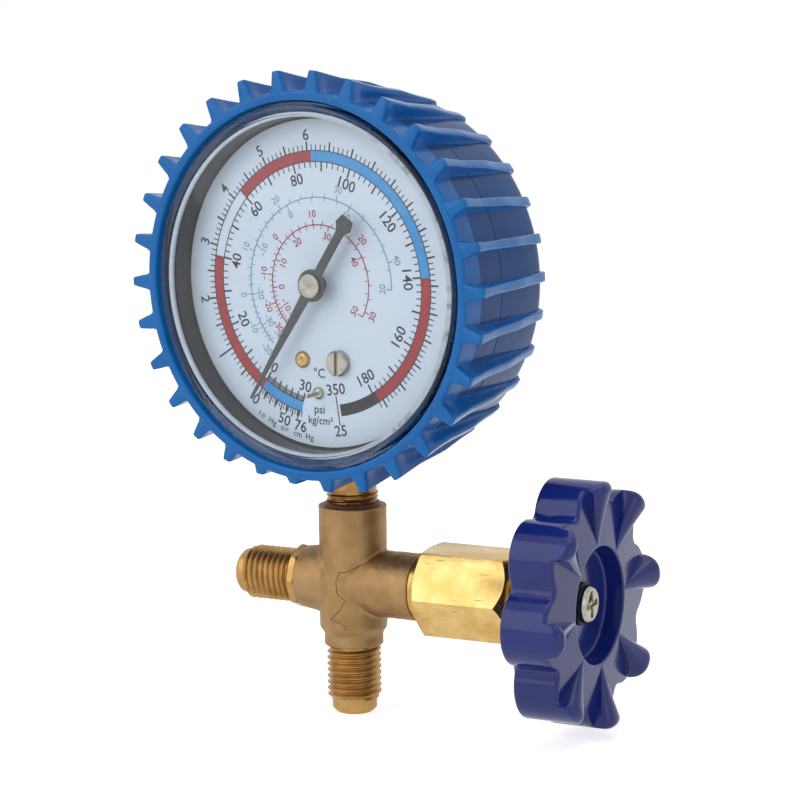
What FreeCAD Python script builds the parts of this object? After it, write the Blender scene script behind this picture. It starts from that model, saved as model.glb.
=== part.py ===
import FreeCAD, Part
import math
import os

import Sketcher
from FreeCAD import Vector

# Driving dimensions in millimetres and degrees; every size of the model comes from these.
DRIVING = {
    # Valve body, a brass forging with four arms that cross at one centre
    "cross_height": 24.2,          # centre of the cross above the outer end of the lower thread
    "port_thread_radius": 5.5,     # 7/16-20 flare thread of both ports
    "port_bore_radius": 2.6,
    "nose_radius": 4.575,          # plain flare nose past the thread
    "nose_chamfer": 0.9,
    "lower_thread_length": 11.1,
    "lower_nose_length": 2.86,
    "lower_collar_radius": 6.05,
    "lower_collar_length": 2.6,
    "column_radius": 6.95,
    "column_cone_length": 0.9,
    "column_top": 15.9,            # top of the gauge socket above the cross centre
    "column_rim_chamfer": 0.5,
    "socket_depth": 9.2,
    "side_reach": 25.6,            # outer end of the side port from the cross centre
    "side_nose_length": 2.2,
    "side_thread_length": 9.9,
    "side_collar_length": 2.6,
    "side_collar_flats": 12.1,     # across the flats of the eight-sided collar
    "side_neck_radius": 6.3,
    "side_root_radius": 7.3,
    "side_root_start": 4.0,
    "arm_radius": 6.85,
    "arm_length": 15.5,
    "arm_bore_radius": 5.2,
    "arm_bore_depth": 9.5,
    "chamber_radius": 4.2,
    "seat_position": -4.0,
    "seat_wall": 4.0,
    "seat_hole_radius": 2.0,
    # Bonnet, gland and spindle
    "bonnet_flats": 17.0,
    "bonnet_turn": 3.0,            # angle of the first corner of the hexagon
    "bonnet_washer_thickness": 1.0,
    "bonnet_washer_radius": 6.6,
    "bonnet_neck_length": 0.4,
    "bonnet_end": 37.4,
    "bonnet_inner_corner_radius": 7.2,
    "bonnet_inner_chamfer_slope": 0.54,
    "bonnet_outer_chamfer": 1.45,
    "bonnet_shank_length": 9.1,
    "spindle_thread_radius": 3.9,
    "spindle_thread_start": 9.0,
    "spindle_thread_length": 12.0,
    "bonnet_thread_end": 26.0,
    "spindle_radius": 3.0,
    "spindle_tip_radius": 2.6,
    "gland_bore_radius": 5.0,
    "gland_floor": 31.0,
    "packing_length": 3.0,
    "gland_nut_flats": 10.0,
    "gland_nut_head": 2.5,
    "spindle_square": 4.2,
    "running_fit": 0.05,           # radial clearance of a shaft or pin in its bore
    "seating_gap": 0.03,           # clearance of pieces that are pressed or screwed together
    "travel_closed": 3.0,          # how far the spindle is open in its rest position
    "seat_clearance": 0.05,
    "seat_disc_radius": 3.2,
    "seat_disc_thickness": 1.2,
    "seat_carrier_thickness": 1.5,
    "seat_rim_width": 0.5,
    "seat_stub_radius": 1.2,
    "seat_stub_length": 2.6,
    # Handwheel, its washer and its screw, along the valve axis
    "wheel_back": 44.5,
    "wheel_turn": 5.0,             # angle of the first lobe
    "wheel_radius": 25.0,
    "wheel_valley_radius": 21.0,
    "wheel_valley_rounding": 2.2,
    "wheel_lobes": 8,
    "wheel_depth": 10.2,
    "wheel_face_fall": 0.9,
    "wheel_wall": 2.6,
    "wheel_web": 2.0,              # floor between the front recess and the hollow back
    "wheel_recess_radius": 11.63,
    "wheel_recess_floor_radius": 11.3,
    "wheel_recess_depth": 4.0,
    "wheel_hub_radius": 6.5,
    "wheel_hub_start": 1.5,
    "wheel_rib_thickness": 1.6,
    "wheel_rib_start": 1.8,
    "wheel_rib_bite": 0.5,         # how far a rib runs into the hub
    "ramp_foot": 3.0,              # how far a ramp runs down into the face
    "ramp_start": 12.5,
    "ramp_start_width": 0.9,
    "ramp_peak": 23.1,
    "ramp_peak_width": 6.4,
    "ramp_height": 13.1,
    "ramp_end_width": 4.4,
    "ramp_end_height": 11.6,
    "ramp_end_inset": 0.3,
    "wheel_washer_radius": 4.3,
    "wheel_washer_thickness": 0.6,
    "wheel_screw_radius": 1.5,
    "wheel_screw_length": 12.0,
    "wheel_screw_head_radius": 3.8,
    "wheel_screw_head_height": 1.7,
    "wheel_screw_slot": 1.1,
    "wheel_screw_slot_depth": 0.85,
    "wheel_screw_edge": 0.57,
    # Place of the gauge on its stem
    "gauge_turn": 7.15,            # the dial is turned this far about the stem
    "dial_height": 85.93,          # dial centre above the outer end of the lower thread
    "stem_behind_dial": 9.64,
    # Socket: the stem and the block that it ends in
    "stem_radius": 4.95,
    "stem_flats": 9.3,
    "stem_flats_length": 4.5,
    "stem_bore_radius": 1.5,
    "stem_bite": 1.0,              # how far the stem runs into the block
    "block_half_width": 7.0,
    "block_thickness": 10.08,
    "block_foot_half_width": 11.0,
    "block_foot_top": -27.5,
    "tongue_half_width": 8.0,
    "tongue_bottom": -18.5,
    "tongue_top": -12.5,
    "tube_pocket_angle": 12.0,
    # Case, lens and boot, as radii and as heights in front of the dial
    "case_inner_radius": 33.4,
    "case_wall": 0.9,
    "case_front": 4.4,
    "case_depth": 24.0,
    "case_corner": 2.5,
    "gasket_thickness": 0.5,
    "lens_radius": 36.3,
    "lens_thickness": 1.6,
    "lens_rim_inner": 33.85,
    "lens_rim_outer": 35.4,
    "lens_step": 0.3,
    "lens_skirt_end": -0.7,
    "fit_gap": 0.12,
    "boot_front": 6.9,
    "boot_lip_radius": 36.6,
    "boot_front_radius": 38.5,
    "boot_bevel_radius": 38.2,
    "boot_bevel_depth": 1.2,
    "boot_shoulder_radius": 37.0,
    "boot_shoulder_rise": 7.1,     # heights above the boot's back face
    "boot_shoulder_bulge": 1.0,
    "boot_shoulder_drop": 1.4,
    "boot_back_wall": 2.0,
    "boot_back_radius": 33.5,
    "boot_opening_radius": 28.0,
    "rib_count": 30,
    "rib_turn": 1.7,
    "rib_thickness": 2.0,
    "rib_tip_radius": 42.6,
    "rib_tip_chamfer": 0.5,
    "rib_middle_radius": 39.5,
    "rib_middle_rise": 14.0,
    "rib_tail_radius": 36.9,
    "rib_tail_rise": 1.5,
    "rib_end_bulge": 0.6,
    "rib_root_depth": 0.4,
    "rib_root_rise": 2.5,
    "rib_root_step": 1.0,
    "rib_sag": 0.35,
    "stem_slot_half_width": 10.2,
    "stem_slot_half_depth": 7.0,
    # Dial and what is fixed to it
    "dial_radius": 33.0,
    "dial_thickness": 0.5,
    "dial_hole_radius": 1.6,
    "rivet_x": -4.55,
    "rivet_y": -15.5,
    "rivet_head_radius": 1.75,
    "rivet_head_height": 0.9,
    "rivet_eye_radius": 0.58,
    "rivet_eye_depth": 0.45,
    "rivet_top_radius": 0.88,
    "rivet_shank_radius": 1.05,
    "screw_x": 4.46,
    "screw_y": -15.6,
    "screw_head_radius": 2.6,
    "screw_head_height": 1.3,
    "screw_slot": 0.8,
    "screw_slot_depth": 0.7,
    "screw_shank_radius": 1.2,
    "dial_shank_length": 7.0,
    "spacer_radius": 2.2,
    "stop_x": -0.66,
    "stop_y": -22.05,
    "stop_boss_radius": 1.2,
    "stop_boss_height": 0.8,
    "stop_boss_edge": 0.5,
    "stop_boss_top_radius": 0.85,
    "stop_pin_radius": 0.4,
    "stop_pin_height": 4.4,
    # Movement: two plates, pillars, sector, pinion, hairspring
    "front_plate_face": -3.2,
    "plate_thickness": 1.0,
    "plate_gap": 6.6,
    "plate_right": 9.0,
    "plate_left": -14.5,
    "plate_top": 6.0,
    "plate_bottom": -18.2,
    "plate_corner": 2.0,
    "plate_foot_right": 6.0,
    "plate_foot_left": 10.0,
    "pillar_radius": 1.3,
    "pillar_right_x": 6.5,
    "pillar_upper_y": 3.6,
    "pillar_left_x": -11.5,
    "pillar_lower_y": -9.0,
    "plate_screw_radius": 0.9,
    "plate_screw_head": 1.8,
    "plate_screw_height": 0.9,
    "plate_screw_length": 3.0,
    "arbor_radius": 0.5,
    "gear_module": 0.16,
    "pinion_teeth": 12,
    "sector_full_teeth": 144,
    "sector_teeth": 15,
    "tooth_root_half": 0.13,
    "tooth_tip_half": 0.05,
    "tooth_depth_factor": 1.25,
    "tooth_height_factor": 0.9,
    "pinion_front": -5.2,
    "pinion_length": 2.8,
    "sector_direction": 225.0,     # direction from the pinion to the sector's pivot
    "sector_front": -6.0,
    "sector_thickness": 1.0,
    "sector_start": -30.0,
    "sector_rim": 1.9,
    "sector_hub_radius": 1.5,
    "sector_hub_height": 0.4,
    "sector_web_root": 1.35,
    "sector_web_turn": 85.0,
    "sector_window_start": 3.3,
    "tail_angle": 79.0,
    "tail_length": 6.0,
    "tail_half_width": 0.8,
    "link_pin_radius": 0.45,
    "link_front": -7.15,
    "link_thickness": 0.6,
    "link_eye_radius": 1.1,
    "link_half_width": 0.55,
    "collet_radius": 1.1,
    "collet_front": -8.6,
    "collet_length": 1.4,
    "hairspring_front": -9.0,
    "hairspring_width": 0.6,
    "hairspring_strip": 0.14,
    "hairspring_turns": 3.25,
    "hairspring_outer": 4.3,
    "stud_radius": 0.5,
    # Bourdon tube and the piece that closes its free end
    "tube_radius": 24.5,
    "tube_half_thickness": 1.15,
    "tube_half_width": 4.0,
    "tube_wall": 0.35,
    "tube_start_angle": -76.0,
    "tube_end_angle": 188.0,
    "end_piece_length": 3.2,
    "end_piece_overlap": 0.75,
    "end_pin_inset": 3.7,          # the link's pin inside the tube's middle line
    "end_pin_offset": 1.6,
    # Pointer
    "pointer_rest": 236.9,
    "pointer_height": 2.8,
    "pointer_thickness": 0.4,
    "pointer_tip": 28.4,
    "pointer_tip_half": 0.26,
    "pointer_arm_half": 1.1,
    "pointer_arm_start": 2.88,
    "pointer_tail": 16.4,
    "pointer_tail_barb": 14.4,
    "pointer_tail_neck": 13.0,
    "pointer_tail_half": 2.0,
    "pointer_neck_half": 0.95,
    "pointer_ring_radius": 3.2,
    "pointer_boss_radius": 2.4,
    "pointer_boss_start": 0.9,
    "cap_radius": 2.45,
    "cap_height": 1.0,
    "cap_edge": 0.3,
    "cap_dimple_radius": 0.35,
    "cap_dimple_depth": 0.3,
    # Case screws beside the stem
    "case_screw_x": 8.0,
    "case_screw_radius": 1.2,
    "case_screw_head_radius": 1.8,
    "case_screw_head_height": 1.3,
    "case_screw_length": 6.0,
    "seal_height": 0.8,
    "seal_width": 0.9,
    "seal_bulge_out": 0.54,
    "seal_bulge_up": 0.6,
    "cut_past": 1.0,               # how far a cut runs past what it takes away
}

doc = FreeCAD.newDocument("manifold_gauge")
sheet = doc.addObject("Spreadsheet::Sheet", "sizes")
for row, (alias, number) in enumerate(DRIVING.items(), start=1):
    sheet.set(f"A{row}", alias)
    sheet.set(f"B{row}", str(number))
    sheet.setAlias(f"B{row}", alias)
doc.recompute()


class Size:
    """A number with the formula over the sheet that gives it."""

    def __init__(self, value, formula):
        self.value = value
        self.formula = formula

    def __add__(self, other):
        other = as_size(other)
        return Size(self.value + other.value, f"({self.formula} + {other.formula})")

    def __sub__(self, other):
        other = as_size(other)
        return Size(self.value - other.value, f"({self.formula} - {other.formula})")

    def __mul__(self, other):
        other = as_size(other)
        return Size(self.value * other.value, f"({self.formula} * {other.formula})")

    def __truediv__(self, other):
        other = as_size(other)
        return Size(self.value / other.value, f"({self.formula} / {other.formula})")

    def __neg__(self):
        return as_size(0) - self

    def __radd__(self, other):
        return as_size(other) + self

    def __rsub__(self, other):
        return as_size(other) - self

    def __rmul__(self, other):
        return as_size(other) * self

    def __rtruediv__(self, other):
        return as_size(other) / self


class SheetSizes:
    """The sheet's cells as sizes, by their aliases."""

    def __getattr__(self, alias):
        return Size(float(getattr(sheet, alias)), f"sizes.{alias}")


def as_size(number):
    return number if isinstance(number, Size) else Size(float(number), repr(float(number)))


def cosine(angle):
    angle = as_size(angle)
    return Size(math.cos(math.radians(angle.value)), f"cos({angle.formula})")


def sine(angle):
    angle = as_size(angle)
    return Size(math.sin(math.radians(angle.value)), f"sin({angle.formula})")


def root(square):
    return Size(math.sqrt(square.value), f"sqrt({square.formula})")


def polar(radius, angle):
    """The point at a radius and an angle, as two sizes."""
    return radius * cosine(angle), radius * sine(angle)


z = SheetSizes()
ZERO = as_size(0)
# The middle of a quarter round, as a share of its radius along each side
SLANT = math.sqrt(0.5)
# Where the arc of a domed head bends, as shares of its radius and its height
ROUND_OUT = 0.84
ROUND_UP = 0.72


# Places: a formula for each frame that sub-parts are drawn in
def placed(x, y, height, turns="rotation(vector(0; 0; 1); 0)"):
    x, y, height = as_size(x), as_size(y), as_size(height)
    return f"placement(vector({x.formula}; {y.formula}; {height.formula}); {turns})"


def turned(place, angle, x=ZERO, y=ZERO):
    """A frame moved by x and y inside another one and turned about its own z axis."""
    x, y, angle = as_size(x), as_size(y), as_size(angle)
    step = f"placement(vector({x.formula}; {y.formula}; 0); rotation(vector(0; 0; 1); {angle.formula}))"
    return f"{place} * {step}"


CROSS = placed(0, 0, z.cross_height)
# The valve axis: local z runs to the handwheel, local x to the back, local y up
VALVE_AXIS = placed(0, 0, z.cross_height, "rotation(vector(1; 1; 1); 120)")
# The gauge: local x to the right of the dial, y up, z out of the dial to the reader
GAUGE = placed(
    -z.stem_behind_dial * sine(z.gauge_turn),
    -z.stem_behind_dial * cosine(z.gauge_turn),
    z.dial_height,
    "rotation(vector(0; 0; 1); -sizes.gauge_turn) * rotation(vector(1; 0; 0); 90)",
)


# Drawing helpers
def new_body(label, place):
    body = doc.addObject("PartDesign::Body", label)
    body.Label = label
    body.setExpression("Placement", place)
    return body


def new_sketch(body, plane="XY_Plane", offset=None, turn=None, swing=None):
    """A sketch on an origin plane: moved along its normal, turned in it, or swung about its y axis."""
    sketch = body.newObject("Sketcher::SketchObject", f"{body.Name}_sketch")
    support = next(item for item in body.Origin.OriginFeatures if item.Role == plane)
    sketch.AttachmentSupport = [(support, "")]
    sketch.MapMode = "FlatFace"
    shift = as_size(offset or 0).formula
    axis = "0; 1; 0" if swing is not None else "0; 0; 1"
    angle = as_size(swing if swing is not None else (turn or 0)).formula
    sketch.setExpression(
        "AttachmentOffset", f"placement(vector(0; 0; {shift}); rotation(vector({axis}); {angle}))"
    )
    return sketch


def pin_point(sketch, geometry, end, point):
    """Ties one point of a sketch to its two sizes."""
    for kind, axis, size in (("DistanceX", -2, point[0]), ("DistanceY", -1, point[1])):
        size = as_size(size)
        if abs(size.value) < 1e-9:
            sketch.addConstraint(Sketcher.Constraint("PointOnObject", geometry, end, axis))
            continue
        index = sketch.addConstraint(Sketcher.Constraint(kind, -1, 1, geometry, end, size.value))
        if "sizes" in size.formula:
            sketch.setExpression(f"Constraints[{index}]", size.formula)


def vector_of(point):
    return Vector(as_size(point[0]).value, as_size(point[1]).value, 0)


def outline(sketch, steps):
    """A closed outline. A step is a corner, or a point that an arc bends through and its end."""
    ends = [step[-1] if isinstance(step[0], tuple) else step for step in steps]
    joints = []
    for number, step in enumerate(steps):
        start, end = ends[number - 1], ends[number]
        if isinstance(step[0], tuple):
            a, b, c = vector_of(start), vector_of(step[0]), vector_of(end)
            leftward = (b - a).cross(c - a).z > 0
            edge = sketch.addGeometry(Part.Arc(a, b, c) if leftward else Part.Arc(c, b, a))
            first, last = (1, 2) if leftward else (2, 1)
            bend = sketch.addGeometry(Part.Point(vector_of(step[0])), True)
            sketch.addConstraint(Sketcher.Constraint("PointOnObject", bend, 1, edge))
            pin_point(sketch, bend, 1, step[0])
        else:
            edge = sketch.addGeometry(Part.LineSegment(vector_of(start), vector_of(end)))
            first, last = 1, 2
        joints.append((edge, first, last))
    for number, (edge, first, last) in enumerate(joints):
        before, _, before_last = joints[number - 1]
        sketch.addConstraint(Sketcher.Constraint("Coincident", before, before_last, edge, first))
        pin_point(sketch, edge, last, ends[number])
    return sketch


def circle(sketch, radius, x=ZERO, y=ZERO):
    radius = as_size(radius)
    shape = Part.Circle(vector_of((x, y)), Vector(0, 0, 1), radius.value)
    edge = sketch.addGeometry(shape)
    pin_point(sketch, edge, 3, (x, y))
    index = sketch.addConstraint(Sketcher.Constraint("Radius", edge, radius.value))
    sketch.setExpression(f"Constraints[{index}]", radius.formula)
    return sketch


def rectangle(sketch, left, bottom, right, top):
    return outline(sketch, [(left, bottom), (right, bottom), (right, top), (left, top)])


def flats_outline(sketch, flats, sides, turn=0):
    """An even polygon by its width across the flats; its first corner lies at the turn."""
    corner = as_size(flats) / (2 * math.cos(math.pi / sides))
    return outline(sketch, [polar(corner, turn + number * 360 / sides) for number in range(sides)])


def obround(sketch, half_x, half_y, x=ZERO, y=ZERO):
    """A rounded slot, longer along y than along x."""
    straight = half_y - half_x
    return outline(sketch, [
        (x + half_x, y + straight),
        ((x, y + half_y), (x - half_x, y + straight)),
        (x - half_x, y - straight),
        ((x, y - half_y), (x + half_x, y - straight)),
    ])


def feature(body, kind, sketch, **sizes):
    """A PartDesign feature of a sketch; sizes are tied to the sheet, other settings are set."""
    item = body.newObject(f"PartDesign::{kind}", f"{body.Name}_{kind.lower()}")
    item.Profile = (sketch, [""])
    sketch.Visibility = False
    for name, value in sizes.items():
        if isinstance(value, Size):
            item.setExpression(name, value.formula)
        else:
            setattr(item, name, value)
    return item


def pad(body, sketch, length, **settings):
    return feature(body, "Pad", sketch, Length=as_size(length), **settings)


def cut(body, sketch, length, **settings):
    """A pocket that has to take material away."""
    before = volume_of(body)
    item = feature(body, "Pocket", sketch, Length=as_size(length), **settings)
    must_be_less(body, before)
    return item


def spin(body, sketch, axis="V_Axis", angle=360):
    return feature(body, "Revolution", sketch, ReferenceAxis=(sketch, [axis]), Angle=as_size(angle))


def turn_away(body, sketch, axis="V_Axis", angle=360):
    """A groove that has to take material away."""
    before = volume_of(body)
    item = feature(body, "Groove", sketch, ReferenceAxis=(sketch, [axis]), Angle=as_size(angle))
    must_be_less(body, before)
    return item


def volume_of(body):
    doc.recompute()
    return body.Shape.Volume


def must_be_less(body, before):
    if not volume_of(body) < before - 1e-6:
        raise ValueError(f"a cut in {body.Label} takes nothing away")


def repeat(body, item, sketch, count, angle=360):
    """Copies of a feature about the axis that stands on a sketch's origin."""
    doc.recompute()
    pattern = body.newObject("PartDesign::PolarPattern", f"{body.Name}_pattern")
    pattern.Originals = [item]
    pattern.Axis = (sketch, ["N_Axis"])
    pattern.setExpression("Angle", as_size(angle).formula)
    pattern.setExpression("Occurrences", as_size(count).formula)
    body.Tip = pattern
    doc.recompute()
    return pattern


def round_bar(body, radius, start, end, x=ZERO, y=ZERO):
    """A cylinder along local z from one height to another."""
    return pad(body, circle(new_sketch(body, offset=start), radius, x, y), end - start)


def bore(body, radius, start, end, x=ZERO, y=ZERO):
    """A round hole along local z, cut from the higher end down."""
    return cut(body, circle(new_sketch(body, offset=end), radius, x, y), end - start)


# Valve body
def valve_body():
    body = new_body("valve_body", CROSS)
    thread_end = -z.cross_height
    collar = thread_end + z.lower_thread_length
    cone = collar + z.lower_collar_length
    column = cone + z.column_cone_length
    nose_end = thread_end - z.lower_nose_length
    spin(body, outline(new_sketch(body, "XZ_Plane"), [
        (0, nose_end),
        (z.nose_radius - z.nose_chamfer, nose_end),
        (z.nose_radius, nose_end + z.nose_chamfer),
        (z.nose_radius, thread_end),
        (z.port_thread_radius, thread_end),
        (z.port_thread_radius, collar),
        (z.lower_collar_radius, collar),
        (z.lower_collar_radius, cone),
        (z.column_radius, column),
        (z.column_radius, z.column_top - z.column_rim_chamfer),
        (z.column_radius - z.column_rim_chamfer, z.column_top),
        (0, z.column_top),
    ]))
    pad(body, circle(new_sketch(body, "YZ_Plane"), z.arm_radius), z.arm_length)
    nose_start = -z.side_reach + z.side_nose_length
    side_collar = nose_start + z.side_thread_length
    neck = side_collar + z.side_collar_length
    spin(body, outline(new_sketch(body, "XZ_Plane"), [
        (-z.side_reach, 0),
        (-z.side_reach, z.nose_radius - z.nose_chamfer),
        (-z.side_reach + z.nose_chamfer, z.nose_radius),
        (nose_start, z.nose_radius),
        (nose_start, z.port_thread_radius),
        (neck, z.port_thread_radius),
        (neck, z.side_neck_radius),
        (-z.side_root_start, z.side_root_radius),
        (-z.side_root_start, 0),
    ]), "H_Axis")
    collar_sketch = new_sketch(body, "YZ_Plane", offset=side_collar)
    sides = 8
    pad(body, flats_outline(collar_sketch, z.side_collar_flats, sides, 180 / sides), z.side_collar_length)
    # Passages: the lower port stays open to the gauge, the seat shuts the side port off
    turn_away(body, outline(new_sketch(body, "XZ_Plane"), [
        (0, nose_end),
        (z.port_bore_radius, nose_end),
        (z.port_bore_radius, z.column_top - z.socket_depth),
        (z.stem_radius + z.seating_gap, z.column_top - z.socket_depth),
        (z.stem_radius + z.seating_gap, z.column_top),
        (0, z.column_top),
    ]))
    arm_bore_start = z.arm_length - z.arm_bore_depth
    turn_away(body, outline(new_sketch(body, "XZ_Plane"), [
        (-z.side_reach, 0),
        (-z.side_reach, z.port_bore_radius),
        (z.seat_position - z.seat_wall, z.port_bore_radius),
        (z.seat_position - z.seat_wall, z.seat_hole_radius),
        (z.seat_position, z.seat_hole_radius),
        (z.seat_position, z.chamber_radius),
        (arm_bore_start, z.chamber_radius),
        (arm_bore_start, z.arm_bore_radius),
        (z.arm_length, z.arm_bore_radius),
        (z.arm_length, 0),
    ]), "H_Axis")
    return body


# Bonnet with its washer, packing and gland nut
def bonnet():
    body = new_body("bonnet", VALVE_AXIS)
    shoulder = z.arm_length + z.bonnet_washer_thickness
    hexagon = shoulder + z.bonnet_neck_length
    shank_end = shoulder - z.bonnet_shank_length - z.bonnet_washer_thickness
    spin(body, outline(new_sketch(body, "XZ_Plane"), [
        (0, shank_end),
        (z.arm_bore_radius - z.seating_gap, shank_end),
        (z.arm_bore_radius - z.seating_gap, shoulder),
        (z.bonnet_washer_radius, shoulder),
        (z.bonnet_washer_radius, hexagon),
        (0, hexagon),
    ]))
    hex_sketch = new_sketch(body, offset=hexagon, turn=z.bonnet_turn)
    pad(body, flats_outline(hex_sketch, z.bonnet_flats, 6), z.bonnet_end - hexagon)
    flat = z.bonnet_flats / 2
    corner = flat * (2 / math.sqrt(3))
    clear = corner + z.cut_past
    turn_away(body, outline(new_sketch(body, "XZ_Plane"), [
        (z.bonnet_inner_corner_radius, hexagon),
        (clear, hexagon),
        (clear, hexagon + (clear - z.bonnet_inner_corner_radius) * z.bonnet_inner_chamfer_slope),
    ]))
    slope = z.bonnet_outer_chamfer / (corner - flat)
    turn_away(body, outline(new_sketch(body, "XZ_Plane"), [
        (flat, z.bonnet_end),
        (clear, z.bonnet_end),
        (clear, z.bonnet_end - (clear - flat) * slope),
    ]))
    turn_away(body, outline(new_sketch(body, "XZ_Plane"), [
        (0, shank_end),
        (z.spindle_thread_radius + z.running_fit, shank_end),
        (z.spindle_thread_radius + z.running_fit, z.bonnet_thread_end),
        (z.spindle_radius + z.running_fit, z.bonnet_thread_end),
        (z.spindle_radius + z.running_fit, z.gland_floor),
        (z.gland_bore_radius, z.gland_floor),
        (z.gland_bore_radius, z.bonnet_end),
        (0, z.bonnet_end),
    ]))
    return body


def bonnet_washer():
    body = new_body("bonnet_washer", VALVE_AXIS)
    ring = circle(new_sketch(body, offset=z.arm_length), z.bonnet_washer_radius)
    circle(ring, z.arm_bore_radius)
    pad(body, ring, z.bonnet_washer_thickness)
    return body


def packing_ring():
    body = new_body("packing_ring", VALVE_AXIS)
    ring = circle(new_sketch(body, offset=z.gland_floor), z.gland_bore_radius - z.seating_gap)
    circle(ring, z.spindle_radius + z.running_fit)
    pad(body, ring, z.packing_length)
    return body


def packing_nut():
    body = new_body("packing_nut", VALVE_AXIS)
    start = z.gland_floor + z.packing_length
    round_bar(body, z.gland_bore_radius - z.seating_gap, start, z.bonnet_end)
    head = new_sketch(body, offset=z.bonnet_end)
    pad(body, flats_outline(head, z.gland_nut_flats, 6), z.gland_nut_head)
    bore(body, z.spindle_radius + z.running_fit, start, z.bonnet_end + z.gland_nut_head)
    return body


# Spindle with the swivelling seat on its tip
def seat_face():
    return z.seat_position + z.travel_closed + z.seat_clearance


def spindle_tip():
    return seat_face() + z.seat_disc_thickness + z.seat_carrier_thickness + z.running_fit


def seat_disc():
    body = new_body("seat_disc", VALVE_AXIS)
    inner = z.seat_disc_radius - z.seat_rim_width
    round_bar(body, inner, seat_face(), seat_face() + z.seat_disc_thickness)
    return body


def seat_carrier():
    body = new_body("seat_carrier", VALVE_AXIS)
    inner = z.seat_disc_radius - z.seat_rim_width
    floor = seat_face() + z.seat_disc_thickness
    spin(body, outline(new_sketch(body, "XZ_Plane"), [
        (0, floor),
        (inner, floor),
        (inner, seat_face() + z.seat_rim_width),
        (z.seat_disc_radius, seat_face() + z.seat_rim_width),
        (z.seat_disc_radius, floor + z.seat_carrier_thickness),
        (z.seat_stub_radius, floor + z.seat_carrier_thickness),
        (z.seat_stub_radius, floor + z.seat_carrier_thickness + z.seat_stub_length),
        (0, floor + z.seat_carrier_thickness + z.seat_stub_length),
    ]))
    return body


def hub_start():
    return z.wheel_back + z.wheel_hub_start


def recess_floor():
    return z.wheel_back + z.wheel_depth - z.wheel_recess_depth


def spindle():
    body = new_body("spindle", VALVE_AXIS)
    spin(body, outline(new_sketch(body, "XZ_Plane"), [
        (0, spindle_tip()),
        (z.spindle_tip_radius, spindle_tip()),
        (z.spindle_tip_radius, z.spindle_thread_start),
        (z.spindle_thread_radius, z.spindle_thread_start),
        (z.spindle_thread_radius, z.spindle_thread_start + z.spindle_thread_length),
        (z.spindle_radius, z.spindle_thread_start + z.spindle_thread_length),
        (z.spindle_radius, hub_start()),
        (0, hub_start()),
    ]))
    square = new_sketch(body, offset=hub_start(), turn=z.wheel_turn)
    square_end = recess_floor() - z.seat_clearance
    pad(body, flats_outline(square, z.spindle_square, 4, 45), square_end - hub_start())
    screw_end = recess_floor() + z.wheel_washer_thickness - z.wheel_screw_length
    bore(body, z.wheel_screw_radius + z.seating_gap, screw_end - z.seating_gap, square_end)
    bore(body, z.seat_stub_radius + z.running_fit, spindle_tip(),
         spindle_tip() + z.seat_stub_length + z.running_fit)
    return body


# Handwheel: eight lobes, a wedge-shaped ramp on each, a round recess and a hollow ribbed back
def direction(run_x, run_y):
    """The angle of a run, in degrees."""
    degrees = math.degrees(math.atan2(run_y.value, run_x.value))
    return Size(degrees, f"(atan2({run_y.formula}; {run_x.formula}) / 1 deg)")


def lobe_sector(sketch, wall, hub=None):
    """One lobe out to the middle of the hollow on each side, its edge set in by a wall."""
    half = 180 / z.wheel_lobes
    hollow = z.wheel_valley_rounding
    hollow_centre = z.wheel_valley_radius + hollow
    across = hollow_centre * sine(half)
    along = hollow_centre * cosine(half)
    reach = z.wheel_radius
    lobe = (reach * reach + hollow_centre * hollow_centre - 2 * reach * along - hollow * hollow) / (
        2 * (hollow + reach - along))
    centre = reach - lobe
    share = (lobe - wall) / (lobe + hollow)
    meet = (centre + (along - centre) * share, across * share)
    valley = polar(z.wheel_valley_radius - wall, half)
    bend_angle = (half - 180 + direction(centre - along, -across)) / 2
    bend = (along + (hollow + wall) * cosine(bend_angle), across + (hollow + wall) * sine(bend_angle))
    steps = [
        ((bend[0], -bend[1]), (meet[0], -meet[1])),
        ((reach - wall, 0), meet),
        (bend, valley),
    ]
    if hub is None:
        steps.append((0, 0))
    else:
        inner = polar(hub, half)
        steps += [inner, ((hub, 0), (inner[0], -inner[1]))]
    steps.append((valley[0], -valley[1]))
    return outline(sketch, steps)


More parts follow.
